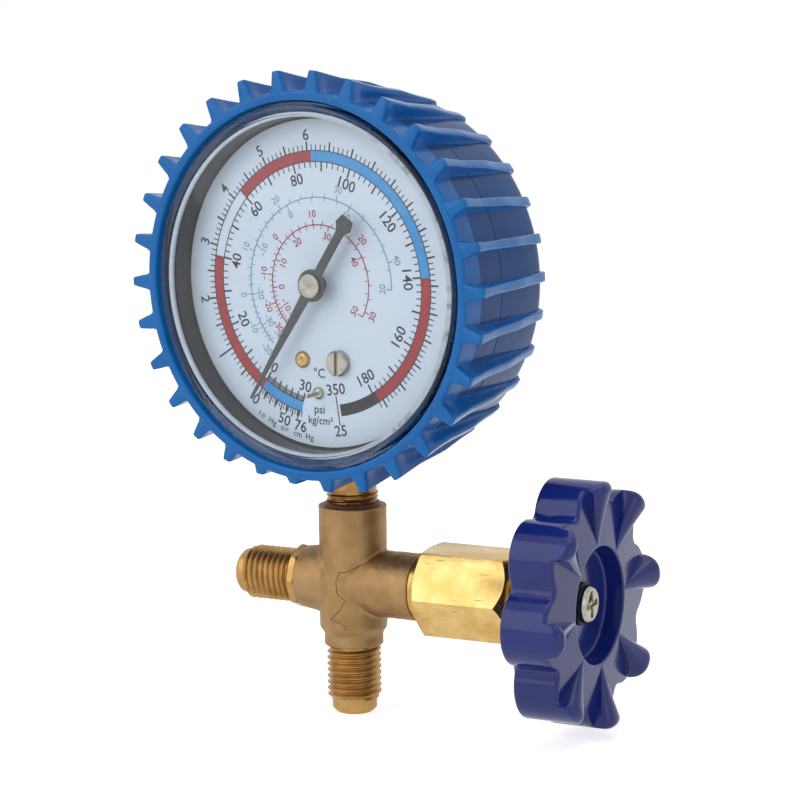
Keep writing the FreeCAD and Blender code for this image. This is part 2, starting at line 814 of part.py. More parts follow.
def handwheel():
    body = new_body("handwheel", turned(VALVE_AXIS, z.wheel_turn))
    back = z.wheel_back
    front = back + z.wheel_depth
    sector = lobe_sector(new_sketch(body, offset=back), ZERO)
    repeat(body, pad(body, sector, z.wheel_depth), sector, z.wheel_lobes)
    beyond = z.wheel_radius + z.cut_past
    turn_away(body, outline(new_sketch(body, "XZ_Plane"), [
        (0, recess_floor()),
        (z.wheel_recess_floor_radius, recess_floor()),
        (z.wheel_recess_radius, front),
        (beyond, front - z.wheel_face_fall),
        (beyond, front + z.cut_past),
        (0, front + z.cut_past),
    ]))
    hollow_end = recess_floor() - z.wheel_web
    hollow = lobe_sector(new_sketch(body, offset=hollow_end), z.wheel_wall, z.wheel_hub_radius)
    pocket = cut(body, hollow, hollow_end - back)
    repeat(body, pocket, hollow, z.wheel_lobes)
    hub_end = circle(new_sketch(body, offset=hub_start()), z.wheel_hub_radius + z.cut_past)
    cut(body, hub_end, z.wheel_hub_start)
    rib_start = back + z.wheel_rib_start
    rib_sketch = new_sketch(body, offset=rib_start)
    rectangle(rib_sketch, z.wheel_hub_radius - z.wheel_rib_bite, -z.wheel_rib_thickness / 2,
              z.wheel_radius - z.wheel_wall / 2, z.wheel_rib_thickness / 2)
    repeat(body, pad(body, rib_sketch, hollow_end - rib_start), rib_sketch, z.wheel_lobes)
    ramp_base = front - z.ramp_foot
    sections = []
    for place, width, height in (
        (z.ramp_start, z.ramp_start_width, z.wheel_depth),
        (z.ramp_peak, z.ramp_peak_width, z.ramp_height),
        (z.wheel_radius - z.ramp_end_inset, z.ramp_end_width, z.ramp_end_height),
    ):
        section = new_sketch(body, "YZ_Plane", offset=place)
        sections.append(rectangle(section, -width / 2, ramp_base, width / 2, back + height))
    ramp = body.newObject("PartDesign::AdditiveLoft", "handwheel_ramp")
    ramp.Profile = (sections[0], [""])
    ramp.Sections = [(section, [""]) for section in sections[1:]]
    ramp.Ruled = True
    repeat(body, ramp, rib_sketch, z.wheel_lobes)
    square = new_sketch(body, offset=recess_floor())
    flats_outline(square, z.spindle_square + 2 * z.running_fit, 4, 45)
    cut(body, square, recess_floor() - hub_start())
    return body


def wheel_washer():
    body = new_body("wheel_washer", VALVE_AXIS)
    ring = circle(new_sketch(body, offset=recess_floor()), z.wheel_washer_radius)
    circle(ring, z.wheel_screw_radius + z.seating_gap)
    pad(body, ring, z.wheel_washer_thickness)
    return body


def wheel_screw():
    body = new_body("wheel_screw", turned(VALVE_AXIS, z.wheel_turn))
    seat = recess_floor() + z.wheel_washer_thickness
    top = seat + z.wheel_screw_head_height
    edge = z.wheel_screw_edge
    spin(body, outline(new_sketch(body, "XZ_Plane"), [
        (0, seat - z.wheel_screw_length),
        (z.wheel_screw_radius, seat - z.wheel_screw_length),
        (z.wheel_screw_radius, seat),
        (z.wheel_screw_head_radius, seat),
        (z.wheel_screw_head_radius, top - edge),
        (z.wheel_screw_head_radius - edge, top),
        (0, top),
    ]))
    reach = z.wheel_screw_head_radius - edge * 2
    for half_x, half_y in ((reach, z.wheel_screw_slot / 2), (z.wheel_screw_slot / 2, reach)):
        slot = rectangle(new_sketch(body, offset=top), -half_x, -half_y, half_x, half_y)
        cut(body, slot, z.wheel_screw_slot_depth)
    return body


# Gauge socket: stem, block and the tongue that carries the movement
def column_top_in_gauge():
    """Height of the valve column's rim in the gauge's frame."""
    return z.cross_height + z.column_top - z.dial_height


def tongue_front():
    return z.front_plate_face - z.plate_thickness


def gauge_socket():
    body = new_body("gauge_socket", GAUGE)
    axis = -z.stem_behind_dial
    inside = z.case_inner_radius - z.fit_gap
    foot = z.block_foot_half_width
    foot_edge = -root(inside * inside - foot * foot)
    block_back = axis - z.block_thickness / 2
    block = outline(new_sketch(body, offset=block_back), [
        (z.block_half_width, z.tongue_bottom),
        (-z.block_half_width, z.tongue_bottom),
        (-z.block_half_width, z.block_foot_top),
        (-foot, z.block_foot_top),
        (-foot, foot_edge),
        ((0, -inside), (foot, foot_edge)),
        (foot, z.block_foot_top),
        (z.block_half_width, z.block_foot_top),
    ])
    pad(body, block, z.block_thickness)
    tongue_back = tongue_front() - z.plate_gap
    tongue = rectangle(new_sketch(body, offset=tongue_back), -z.tongue_half_width, z.tongue_bottom,
                       z.tongue_half_width, z.tongue_top)
    pad(body, tongue, z.plate_gap)
    stem_end = column_top_in_gauge() - z.socket_depth + z.seat_clearance
    stem_top = z.stem_bite - inside
    stem = circle(new_sketch(body, "XZ_Plane", offset=-stem_top), z.stem_radius, ZERO, axis)
    pad(body, stem, stem_top - stem_end)
    # Two wrench flats above the thread, front and back
    flats_top = column_top_in_gauge() + z.seal_height + z.stem_flats_length
    for side in (1, -1):
        flat = new_sketch(body, "XZ_Plane", offset=-flats_top)
        near = axis + side * z.stem_flats / 2
        far = axis + side * (z.stem_radius + z.cut_past)
        low, high = (near, far) if side > 0 else (far, near)
        rectangle(flat, -z.stem_radius, low, z.stem_radius, high)
        cut(body, flat, z.stem_flats_length, Reversed=True)
    passage = circle(new_sketch(body, "XZ_Plane", offset=-stem_end), z.stem_bore_radius, ZERO, axis)
    cut(body, passage, -z.tube_radius - stem_end)
    branch_height = z.tube_radius * sine(z.tube_start_angle)
    branch = circle(new_sketch(body, "YZ_Plane", offset=z.block_half_width), z.stem_bore_radius / 2,
                    branch_height, axis)
    cut(body, branch, z.block_half_width)
    start = z.tube_start_angle - z.fit_gap
    pocket = new_sketch(body, "XZ_Plane", swing=start)
    obround(pocket, z.tube_half_thickness + z.fit_gap, z.tube_half_width + z.fit_gap, z.tube_radius, axis)
    turn_away(body, pocket, angle=z.tube_pocket_angle)
    for x, y, radius in ((z.rivet_x, z.rivet_y, z.rivet_shank_radius),
                         (z.screw_x, z.screw_y, z.screw_shank_radius)):
        bore(body, radius + z.seating_gap, -z.dial_shank_length - z.seating_gap, tongue_front(), x, y)
        screw_bottom = tongue_back + z.plate_screw_length - z.plate_thickness
        back = circle(new_sketch(body, offset=tongue_back), z.plate_screw_radius + z.seating_gap, x, y)
        cut(body, back, screw_bottom - tongue_back, Reversed=True)
    for side in (1, -1):
        hole = new_sketch(body, "XZ_Plane", offset=-case_screw_top())
        circle(hole, z.case_screw_radius + z.seating_gap, side * z.case_screw_x, axis)
        cut(body, hole, z.case_screw_length + 2 * z.cut_past, Reversed=True)
    return body


def case_outer():
    return z.case_inner_radius + z.case_wall


def case_screw_seat():
    """Height under the screw heads, just clear of the round case."""
    near = z.case_screw_x - z.case_screw_head_radius
    return -root(case_outer() * case_outer() - near * near) - z.fit_gap


def case_screw_top():
    return case_screw_seat() + z.case_screw_length


def case_screws():
    body = new_body("case_screws", GAUGE)
    body.AllowCompound = True
    axis = -z.stem_behind_dial
    for radius, top, length in (
        (z.case_screw_radius, case_screw_top(), z.case_screw_length),
        (z.case_screw_head_radius, case_screw_seat(), z.case_screw_head_height),
    ):
        for side in (1, -1):
            disc = new_sketch(body, "XZ_Plane", offset=-top)
            pad(body, circle(disc, radius, side * z.case_screw_x, axis), length)
    return body


def thread_seal():
    body = new_body("thread_seal", placed(0, 0, z.cross_height + z.column_top))
    inner = z.stem_radius + z.seating_gap
    outer = z.stem_radius + z.seal_width
    spin(body, outline(new_sketch(body, "XZ_Plane"), [
        (inner, 0),
        (outer, 0),
        ((inner + z.seal_bulge_out, z.seal_bulge_up), (inner, z.seal_height)),
    ]))
    return body


# Case, gasket, lens and rubber boot
def gauge_case():
    body = new_body("gauge_case", GAUGE)
    inner = z.case_inner_radius
    outer = case_outer()
    back = -z.case_depth
    floor = back + z.case_wall
    corner = z.case_corner
    small = z.case_corner - z.case_wall
    spin(body, outline(new_sketch(body, "XZ_Plane"), [
        (0, back),
        (outer - corner, back),
        ((outer - corner + corner * SLANT, back + corner - corner * SLANT), (outer, back + corner)),
        (outer, z.case_front),
        (inner, z.case_front),
        (inner, floor + small),
        ((inner - small + small * SLANT, floor + small - small * SLANT), (inner - small, floor)),
        (0, floor),
    ]))
    axis = -z.stem_behind_dial
    holes = new_sketch(body, "XZ_Plane")
    circle(holes, z.stem_radius + z.fit_gap, ZERO, axis)
    for side in (1, -1):
        circle(holes, z.case_screw_radius + z.fit_gap, side * z.case_screw_x, axis)
    cut(body, holes, outer + z.cut_past, Reversed=True)
    return body


def lens_gasket():
    body = new_body("lens_gasket", GAUGE)
    ring = circle(new_sketch(body, offset=z.case_front), case_outer())
    circle(ring, z.case_inner_radius)
    pad(body, ring, z.gasket_thickness)
    return body


def lens():
    body = new_body("lens", GAUGE)
    inside = z.case_front + z.gasket_thickness
    front = inside + z.lens_thickness
    skirt = case_outer() + z.fit_gap
    spin(body, outline(new_sketch(body, "XZ_Plane"), [
        (0, inside),
        (skirt, inside),
        (skirt, z.lens_skirt_end),
        (z.lens_radius, z.lens_skirt_end),
        (z.lens_radius, front - (z.lens_radius - z.lens_rim_outer)),
        (z.lens_rim_outer, front),
        (z.lens_rim_inner, front),
        (z.lens_rim_inner, front - z.lens_step),
        (0, front - z.lens_step),
    ]))
    return body


def rubber_boot():
    body = new_body("rubber_boot", GAUGE)
    inside = case_outer() + z.fit_gap
    pocket_floor = z.lens_skirt_end - z.fit_gap
    inner_back = -z.case_depth - z.fit_gap
    back = -z.case_depth - z.boot_back_wall
    corner = z.case_corner + z.fit_gap
    shoulder_depth = back + z.boot_shoulder_rise
    shoulder = (z.boot_shoulder_radius + z.boot_back_radius) / 2 + z.boot_shoulder_bulge
    shoulder_bend = (shoulder, (shoulder_depth + back) / 2 - z.boot_shoulder_drop)
    spin(body, outline(new_sketch(body, "XZ_Plane"), [
        (z.boot_lip_radius, z.boot_front),
        (z.boot_front_radius, z.boot_front),
        (z.boot_bevel_radius, z.boot_bevel_depth),
        (z.boot_shoulder_radius, shoulder_depth),
        (shoulder_bend, (z.boot_back_radius, back)),
        (z.boot_opening_radius, back),
        (z.boot_opening_radius, inner_back),
        (inside - corner, inner_back),
        ((inside - corner + corner * SLANT, inner_back + corner - corner * SLANT),
         (inside, inner_back + corner)),
        (inside, pocket_floor),
        (z.boot_lip_radius, pocket_floor),
    ]))
    rib_sketch = new_sketch(body, "XZ_Plane", swing=z.rib_turn)
    tip = z.rib_tip_radius
    bite = (z.boot_lip_radius + z.boot_bevel_radius) / 2
    deep = (inside + z.boot_shoulder_radius) / 2
    middle_depth = back + z.rib_middle_rise
    tail_depth = back + z.rib_tail_rise
    upper = ((tip + z.rib_middle_radius) / 2 - z.rib_sag, (z.boot_front + middle_depth) / 2)
    lower = ((z.rib_middle_radius + z.rib_tail_radius) / 2 + z.rib_sag, (middle_depth + tail_depth) / 2)
    end_bend = ((z.rib_tail_radius + z.boot_back_radius) / 2 + z.rib_end_bulge, back - z.rib_end_bulge)
    outline(rib_sketch, [
        (bite, z.boot_front),
        (tip - z.rib_tip_chamfer, z.boot_front),
        (tip, z.boot_front - z.rib_tip_chamfer),
        (upper, (z.rib_middle_radius, middle_depth)),
        (lower, (z.rib_tail_radius, tail_depth)),
        (end_bend, (z.boot_back_radius, back)),
        (inside + z.rib_root_depth, tail_depth + z.rib_root_rise),
        (deep, pocket_floor - z.rib_root_step),
        (bite, pocket_floor),
    ])
    rib = pad(body, rib_sketch, z.rib_thickness, Midplane=True)
    repeat(body, rib, new_sketch(body), z.rib_count)
    slot = new_sketch(body, "XZ_Plane")
    half_x, half_y = z.stem_slot_half_width, z.stem_slot_half_depth
    centre = -z.stem_behind_dial
    straight = half_x - half_y
    outline(slot, [
        (-straight, centre + half_y),
        ((-half_x, centre), (-straight, centre - half_y)),
        (straight, centre - half_y),
        ((half_x, centre), (straight, centre + half_y)),
    ])
    cut(body, slot, tip + z.cut_past, Reversed=True)
    return body


# Dial and its fastenings
def dial():
    body = new_body("dial", GAUGE)
    disc = circle(new_sketch(body, offset=-z.dial_thickness), z.dial_radius)
    circle(disc, z.dial_hole_radius)
    circle(disc, z.rivet_shank_radius + z.seating_gap, z.rivet_x, z.rivet_y)
    circle(disc, z.screw_shank_radius + z.seating_gap, z.screw_x, z.screw_y)
    circle(disc, z.stop_pin_radius + z.seating_gap, z.stop_x, z.stop_y)
    pad(body, disc, z.dial_thickness)
    return body


def dial_spacers():
    body = new_body("dial_spacers", GAUGE)
    body.AllowCompound = True
    length = -z.front_plate_face - z.dial_thickness
    for x, y, hole in ((z.rivet_x, z.rivet_y, z.rivet_shank_radius),
                       (z.screw_x, z.screw_y, z.screw_shank_radius)):
        ring = circle(new_sketch(body, offset=z.front_plate_face), z.spacer_radius, x, y)
        circle(ring, hole + z.seating_gap, x, y)
        pad(body, ring, length)
    return body


def dial_rivet():
    body = new_body("dial_rivet", turned(GAUGE, 0, z.rivet_x, z.rivet_y))
    head = z.rivet_head_radius
    height = z.rivet_head_height
    spin(body, outline(new_sketch(body, "XZ_Plane"), [
        (0, -z.dial_shank_length),
        (z.rivet_shank_radius, -z.dial_shank_length),
        (z.rivet_shank_radius, 0),
        (head, 0),
        ((head * ROUND_OUT, height * ROUND_UP), (z.rivet_top_radius, height)),
        (z.rivet_eye_radius, height),
        (0, height - z.rivet_eye_depth),
    ]))
    return body


def dial_screw():
    body = new_body("dial_screw", turned(GAUGE, 0, z.screw_x, z.screw_y))
    head = z.screw_head_radius
    height = z.screw_head_height
    edge = height / 4
    spin(body, outline(new_sketch(body, "XZ_Plane"), [
        (0, -z.dial_shank_length),
        (z.screw_shank_radius, -z.dial_shank_length),
        (z.screw_shank_radius, 0),
        (head, 0),
        (head, height - edge),
        (head - edge, height),
        (0, height),
    ]))
    slot = new_sketch(body, offset=height)
    rectangle(slot, -z.screw_slot / 2, -head, z.screw_slot / 2, head)
    cut(body, slot, z.screw_slot_depth)
    return body


def stop_pin():
    body = new_body("stop_pin", turned(GAUGE, 0, z.stop_x, z.stop_y))
    foot = -z.dial_thickness * 2
    spin(body, outline(new_sketch(body, "XZ_Plane"), [
        (0, foot),
        (z.stop_pin_radius, foot),
        (z.stop_pin_radius, 0),
        (z.stop_boss_radius, 0),
        (z.stop_boss_radius, z.stop_boss_edge),
        (z.stop_boss_top_radius, z.stop_boss_height),
        (z.stop_pin_radius, z.stop_boss_height),
        (z.stop_pin_radius, z.stop_pin_height),
        (0, z.stop_pin_height),
    ]))
    return body


# Movement plates, pillars and screws
def pillar_places():
    return [(z.pillar_right_x, z.pillar_upper_y), (z.pillar_left_x, z.pillar_upper_y),
            (z.pillar_right_x, z.pillar_lower_y)]


def fixing_places():
    return [(z.rivet_x, z.rivet_y, z.rivet_shank_radius), (z.screw_x, z.screw_y, z.screw_shank_radius)]


def gear_distance():
    return z.gear_module * (z.pinion_teeth + z.sector_full_teeth) / 2


def sector_pivot():
    return polar(gear_distance(), z.sector_direction)


def back_plate_front():
    return tongue_front() - z.plate_gap


def movement_plate(label, face):
    """One of the two plates; the face is its front side."""
    body = new_body(label, GAUGE)
    corner = z.plate_corner
    sheet_outline = outline(new_sketch(body, offset=face - z.plate_thickness), [
        (z.tongue_half_width, z.plate_bottom),
        (z.plate_right, z.plate_bottom + z.plate_foot_right),
        (z.plate_right, z.plate_top - corner),
        (z.plate_right - corner, z.plate_top),
        (z.plate_left + corner, z.plate_top),
        (z.plate_left, z.plate_top - corner),
        (z.plate_left, z.plate_bottom + z.plate_foot_left),
        (-z.tongue_half_width, z.plate_bottom),
    ])
    pivot_hole = z.arbor_radius + z.running_fit
    circle(sheet_outline, pivot_hole)
    circle(sheet_outline, pivot_hole, *sector_pivot())
    return body, sheet_outline


def movement_front_plate():
    body, plate = movement_plate("movement_front_plate", z.front_plate_face)
    for x, y, radius in fixing_places():
        circle(plate, radius + z.seating_gap, x, y)
    pad(body, plate, z.plate_thickness)
    return body


def movement_back_plate():
    body, plate = movement_plate("movement_back_plate", back_plate_front())
    hole = z.plate_screw_radius + z.seating_gap
    for x, y, _ in fixing_places():
        circle(plate, hole, x, y)
    for x, y in pillar_places():
        circle(plate, hole, x, y)
    pad(body, plate, z.plate_thickness)
    return body


def movement_pillars():
    body = new_body("movement_pillars", GAUGE)
    body.AllowCompound = True
    depth = z.plate_screw_length - z.plate_thickness + z.seating_gap
    for x, y in pillar_places():
        round_bar(body, z.pillar_radius, back_plate_front() + depth, tongue_front(), x, y)
        sleeve = circle(new_sketch(body, offset=back_plate_front()), z.pillar_radius, x, y)
        circle(sleeve, z.plate_screw_radius + z.seating_gap, x, y)
        pad(body, sleeve, depth)
    return body


def movement_screws():
    body = new_body("movement_screws", GAUGE)
    body.AllowCompound = True
    seat = back_plate_front() - z.plate_thickness
    places = pillar_places() + [(x, y) for x, y, _ in fixing_places()]
    for x, y in places:
        round_bar(body, z.plate_screw_head, seat - z.plate_screw_height, seat, x, y)
        round_bar(body, z.plate_screw_radius, seat, seat + z.plate_screw_length - z.seating_gap, x, y)
    return body


# Gears: one tooth is drawn and repeated
def tooth(sketch, pitch_radius, root_radius):
    tip = pitch_radius + z.gear_module * z.tooth_height_factor
    base = root_radius - z.gear_module / 2
    return outline(sketch, [
        (base, -z.tooth_root_half), (root_radius, -z.tooth_root_half), (tip, -z.tooth_tip_half),
        (tip, z.tooth_tip_half), (root_radius, z.tooth_root_half), (base, z.tooth_root_half),
    ])


def pinion_arbor():
    half_pitch = 180 / z.pinion_teeth
    body = new_body("pinion_arbor", turned(GAUGE, z.sector_direction + half_pitch))
    back = back_plate_front() - z.plate_thickness + z.seat_clearance
    round_bar(body, z.arbor_radius, back, z.pointer_height + z.pointer_thickness)
    pitch = z.gear_module * z.pinion_teeth / 2
    core = pitch - z.gear_module * z.tooth_depth_factor
    gear_back = z.pinion_front - z.pinion_length
    round_bar(body, core, gear_back, z.pinion_front)
    sketch = tooth(new_sketch(body, offset=gear_back), pitch, core)
    repeat(body, pad(body, sketch, z.pinion_length), sketch, z.pinion_teeth)
    return body


def sector_gear():
    # Local x points from the sector's pivot to the pinion
    facing = z.sector_direction - 180
    body = new_body("sector_gear", turned(GAUGE, facing, *sector_pivot()))
    back = z.sector_front - z.sector_thickness
    pitch = z.gear_module * z.sector_full_teeth / 2
    rim = pitch - z.gear_module * z.tooth_depth_factor
    step = 360 / z.sector_full_teeth
    spread = step * (z.sector_teeth - 1)
    first = z.sector_start - step
    last = z.sector_start + spread + step
    middle = (first + last) / 2
    web = outline(new_sketch(body, offset=back), [
        polar(z.sector_web_root, first - z.sector_web_turn),
        polar(rim, first),
        (polar(rim, middle), polar(rim, last)),
        polar(z.sector_web_root, last + z.sector_web_turn),
    ])
    pad(body, web, z.sector_thickness)
    inner = rim - z.sector_rim
    window = outline(new_sketch(body, offset=z.sector_front), [
        polar(z.sector_window_start, middle),
        polar(inner, first + step * 2),
        (polar(inner, middle), polar(inner, last - step * 2)),
    ])
    cut(body, window, z.sector_thickness)
    round_bar(body, z.sector_hub_radius, back, z.sector_front + z.sector_hub_height)
    tail = new_sketch(body, offset=back, turn=z.tail_angle - facing)
    half = z.tail_half_width
    outline(tail, [
        (0, -half),
        (z.tail_length, -half),
        ((z.tail_length + half, 0), (z.tail_length, half)),
        (0, half),
    ])
    pad(body, tail, z.sector_thickness)
    arbor_back = back_plate_front() - z.plate_thickness + z.seat_clearance
    round_bar(body, z.arbor_radius, arbor_back, z.front_plate_face - z.seat_clearance)
    sketch = tooth(new_sketch(body, offset=back, turn=z.sector_start), pitch, rim)
    teeth = pad(body, sketch, z.sector_thickness)
    repeat(body, teeth, sketch, z.sector_teeth, spread)
    pin_end = z.link_front - z.link_thickness - z.seat_clearance * 2
    pin = new_sketch(body, offset=back, turn=z.tail_angle - facing)
    pad(body, circle(pin, z.link_pin_radius, z.tail_length), back - pin_end, Reversed=True)
    return body


def tail_pin():
    """Where the link hangs on the sector's tail."""
    pivot = sector_pivot()
    arm = polar(z.tail_length, z.tail_angle)
    return pivot[0] + arm[0], pivot[1] + arm[1]


def end_pin():
    """Where the link hangs on the tube's end piece."""
    along = polar(z.tube_radius - z.end_pin_inset, z.tube_end_angle)
    across = polar(z.end_pin_offset, z.tube_end_angle + 90)
    return along[0] + across[0], along[1] + across[1]


def link():
    start, end = tail_pin(), end_pin()
    run_x, run_y = end[0] - start[0], end[1] - start[1]
    length = root(run_x * run_x + run_y * run_y)
    body = new_body("link", turned(GAUGE, direction(run_x, run_y), *start))
    back = z.link_front - z.link_thickness
    half = z.link_half_width
    pad(body, rectangle(new_sketch(body, offset=back), 0, -half, length, half), z.link_thickness)
    for place in (ZERO, length):
        round_bar(body, z.link_eye_radius, back, z.link_front, place)
    for place in (ZERO, length):
        bore(body, z.link_pin_radius + z.running_fit, back, z.link_front, place)
    return body


def bourdon_tube():
    body = new_body("bourdon_tube", turned(GAUGE, z.tube_start_angle))
    section = new_sketch(body, "XZ_Plane")
    axis = -z.stem_behind_dial
    for wall in (ZERO, z.tube_wall):
        obround(section, z.tube_half_thickness - wall, z.tube_half_width - wall, z.tube_radius, axis)
    spin(body, section, angle=z.tube_end_angle - z.tube_start_angle)
    return body


def tube_end_piece():
    # Local x runs along the radius through the tube's free end, local y on past the end
    body = new_body("tube_end_piece", turned(GAUGE, z.tube_end_angle))
    axis = -z.stem_behind_dial
    half_x = z.tube_half_thickness + z.end_piece_overlap
    half_z = z.tube_half_width + z.end_piece_overlap / 2
    block = new_sketch(body, offset=axis - half_z)
    start = z.seat_clearance
    rectangle(block, z.tube_radius - half_x, start, z.tube_radius + half_x, z.end_piece_length)
    pad(body, block, 2 * half_z)
    lug_front = z.link_front - z.link_thickness - z.seat_clearance * 3
    half = z.end_pin_offset - z.end_piece_overlap
    pin = z.tube_radius - z.end_pin_inset
    lug = new_sketch(body, offset=lug_front - z.sector_thickness)
    outline(lug, [
        (z.tube_radius - half_x, z.end_pin_offset - half),
        (z.tube_radius - half_x, z.end_pin_offset + half),
        (pin, z.end_pin_offset + half),
        ((pin - half, z.end_pin_offset), (pin, z.end_pin_offset - half)),
    ])
    pad(body, lug, z.sector_thickness)
    round_bar(body, z.link_pin_radius, lug_front, z.link_front + z.seat_clearance, pin, z.end_pin_offset)
    return body


# Hairspring: a flat strip wound in a spiral between the collet and the stud
def spiral_point(share, side):
    """A point of the strip's inner or outer face; the share runs from the collet to the stud."""
    inner = z.collet_radius.value + z.hairspring_strip.value
    radius = inner + (z.hairspring_outer.value - inner) * share
    angle = 2 * math.pi * z.hairspring_turns.value * share
    radius += side * z.hairspring_strip.value / 2
    return Vector(radius * math.cos(angle), radius * math.sin(angle), z.hairspring_front.value)


def hairspring():
    points_per_turn = 12
    count = int(round(z.hairspring_turns.value * points_per_turn))
    faces = []
    for side in (-1, 1):
        curve = Part.BSplineCurve()
        curve.interpolate([spiral_point(number / count, side) for number in range(count + 1)])
        faces.append(curve.toShape())
    ends = [Part.makeLine(spiral_point(share, -1), spiral_point(share, 1)) for share in (0, 1)]
    strip = Part.Face(Part.Wire([faces[0], ends[1], faces[1], ends[0]]))
    item = doc.addObject("Part::Feature", "hairspring")
    item.Label = "hairspring"
    item.Shape = strip.extrude(Vector(0, 0, -z.hairspring_width.value))
    item.setExpression("Placement", GAUGE)
    return item


def hairspring_collet():
    body = new_body("hairspring_collet", GAUGE)
    ring = circle(new_sketch(body, offset=z.collet_front - z.collet_length), z.collet_radius)
    circle(ring, z.arbor_radius + z.seating_gap)
    pad(body, ring, z.collet_length)
    return body


def hairspring_stud():
    angle = 360 * z.hairspring_turns
    body = new_body("hairspring_stud", GAUGE)
    reach = z.hairspring_outer + z.hairspring_strip + z.stud_radius
    x, y = polar(reach, angle)
    round_bar(body, z.stud_radius, back_plate_front(), z.hairspring_front + z.seat_clearance * 4, x, y)
    return body


# Pointer and its cap; local x runs to the tip
def pointer():
    body = new_body("pointer", turned(GAUGE, z.pointer_rest))
    hand = new_sketch(body, offset=z.pointer_height)
    arm = z.pointer_arm_half
    neck = z.pointer_neck_half
    outline(hand, [
        (z.pointer_arm_start, -arm),
        (z.pointer_tip, -z.pointer_tip_half),
        (z.pointer_tip, z.pointer_tip_half),
        (z.pointer_arm_start, arm),
        (-z.pointer_arm_start, neck),
        (-z.pointer_tail_neck, neck),
        (-z.pointer_tail_barb, z.pointer_tail_half),
        (-z.pointer_tail, 0),
        (-z.pointer_tail_barb, -z.pointer_tail_half),
        (-z.pointer_tail_neck, -neck),
        (-z.pointer_arm_start, -neck),
    ])
    pad(body, hand, z.pointer_thickness)
    round_bar(body, z.pointer_ring_radius, z.pointer_height, z.pointer_height + z.pointer_thickness)
    round_bar(body, z.pointer_boss_radius, z.pointer_boss_start, z.pointer_height)
    top = z.pointer_height + z.pointer_thickness
    bore(body, z.arbor_radius + z.seating_gap, z.pointer_boss_start, top)
    return body


def pointer_cap():
    body = new_body("pointer_cap", turned(GAUGE, z.pointer_rest))
    start = z.pointer_height + z.pointer_thickness
    top = start + z.cap_height
    edge = z.cap_edge
    spin(body, outline(new_sketch(body, "XZ_Plane"), [
        (0, start),
        (z.cap_radius, start),
        (z.cap_radius, top - edge),
        ((z.cap_radius - edge + edge * SLANT, top - edge + edge * SLANT), (z.cap_radius - edge, top)),
        (z.cap_dimple_radius, top),
        (0, top - z.cap_dimple_depth),
    ]))
    return body


PARTS = [
    valve_body, bonnet, bonnet_washer, packing_ring, packing_nut, seat_disc, seat_carrier, spindle,
    handwheel, wheel_washer, wheel_screw, gauge_socket, case_screws, thread_seal, gauge_case,
    lens_gasket, lens, rubber_boot, dial, dial_spacers, dial_rivet, dial_screw, stop_pin,
    movement_front_plate, movement_back_plate, movement_pillars, movement_screws, pinion_arbor,
    sector_gear, link, bourdon_tube, tube_end_piece, hairspring, hairspring_collet, hairspring_stud,
    pointer, pointer_cap,
]

nodes = [make() for make in PARTS]
doc.recompute()

failed = [item.Name for item in doc.Objects if "Invalid" in item.State or "Error" in item.State]
if failed:
    raise ValueError(f"objects that failed: {failed}")
for node in nodes:
    if node.Shape.isNull() or not node.Shape.isValid():
        raise ValueError(f"{node.Label} has no valid shape")

os.makedirs("parts", exist_ok=True)
for node in nodes:
    node.Shape.exportStep(f"parts/{node.Label}.step")
    box = node.Shape.BoundBox
    print(f"{node.Label}: {len(node.Shape.Solids)} solids, {node.Shape.Volume:.2f} mm3, "
          f"{box.XMin:.2f} {box.YMin:.2f} {box.ZMin:.2f} to {box.XMax:.2f} {box.YMax:.2f} {box.ZMax:.2f}")
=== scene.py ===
"""Looks, studio and camera of a refrigerant manifold gauge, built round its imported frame."""

import logging
import math
from dataclasses import dataclass
from enum import Enum
from typing import Any, Callable, Optional, Sequence

import bmesh
import bpy
from mathutils import Matrix, Vector, bvhtree, noise


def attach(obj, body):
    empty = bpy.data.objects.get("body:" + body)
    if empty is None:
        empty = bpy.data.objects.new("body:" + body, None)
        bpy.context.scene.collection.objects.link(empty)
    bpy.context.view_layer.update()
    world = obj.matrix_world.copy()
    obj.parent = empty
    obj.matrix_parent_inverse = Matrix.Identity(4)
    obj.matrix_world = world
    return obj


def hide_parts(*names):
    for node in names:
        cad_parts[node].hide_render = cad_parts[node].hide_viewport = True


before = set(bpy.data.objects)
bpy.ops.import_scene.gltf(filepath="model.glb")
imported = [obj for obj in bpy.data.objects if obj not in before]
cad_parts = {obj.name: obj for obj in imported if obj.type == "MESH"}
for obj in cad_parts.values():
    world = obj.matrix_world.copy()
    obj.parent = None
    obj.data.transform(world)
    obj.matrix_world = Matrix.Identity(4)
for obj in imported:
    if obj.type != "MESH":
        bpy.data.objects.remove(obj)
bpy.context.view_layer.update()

MM = 0.001
# Points of a turned form closer than this, in millimetres, are one
WELD_MM = 1e-4
LOG = logging.getLogger("manifold_gauge")

Point = tuple[float, float, float]
Profile = Sequence[tuple[float, float]]


# Helpers
def linear(hex_colour: str) -> tuple[float, float, float, float]:
    """Turns an sRGB hex colour to linear.

    Args:
        hex_colour: six hex digits, with or without a leading #.

    Returns:
        The linear red, green, blue and an alpha of 1.
    """
    digits = hex_colour.lstrip("#")
    shares = [int(digits[i:i + 2], 16) / 255 for i in (0, 2, 4)]
    values = [s / 12.92 if s <= 0.04045 else ((s + 0.055) / 1.055) ** 2.4 for s in shares]
    return (values[0], values[1], values[2], 1.0)


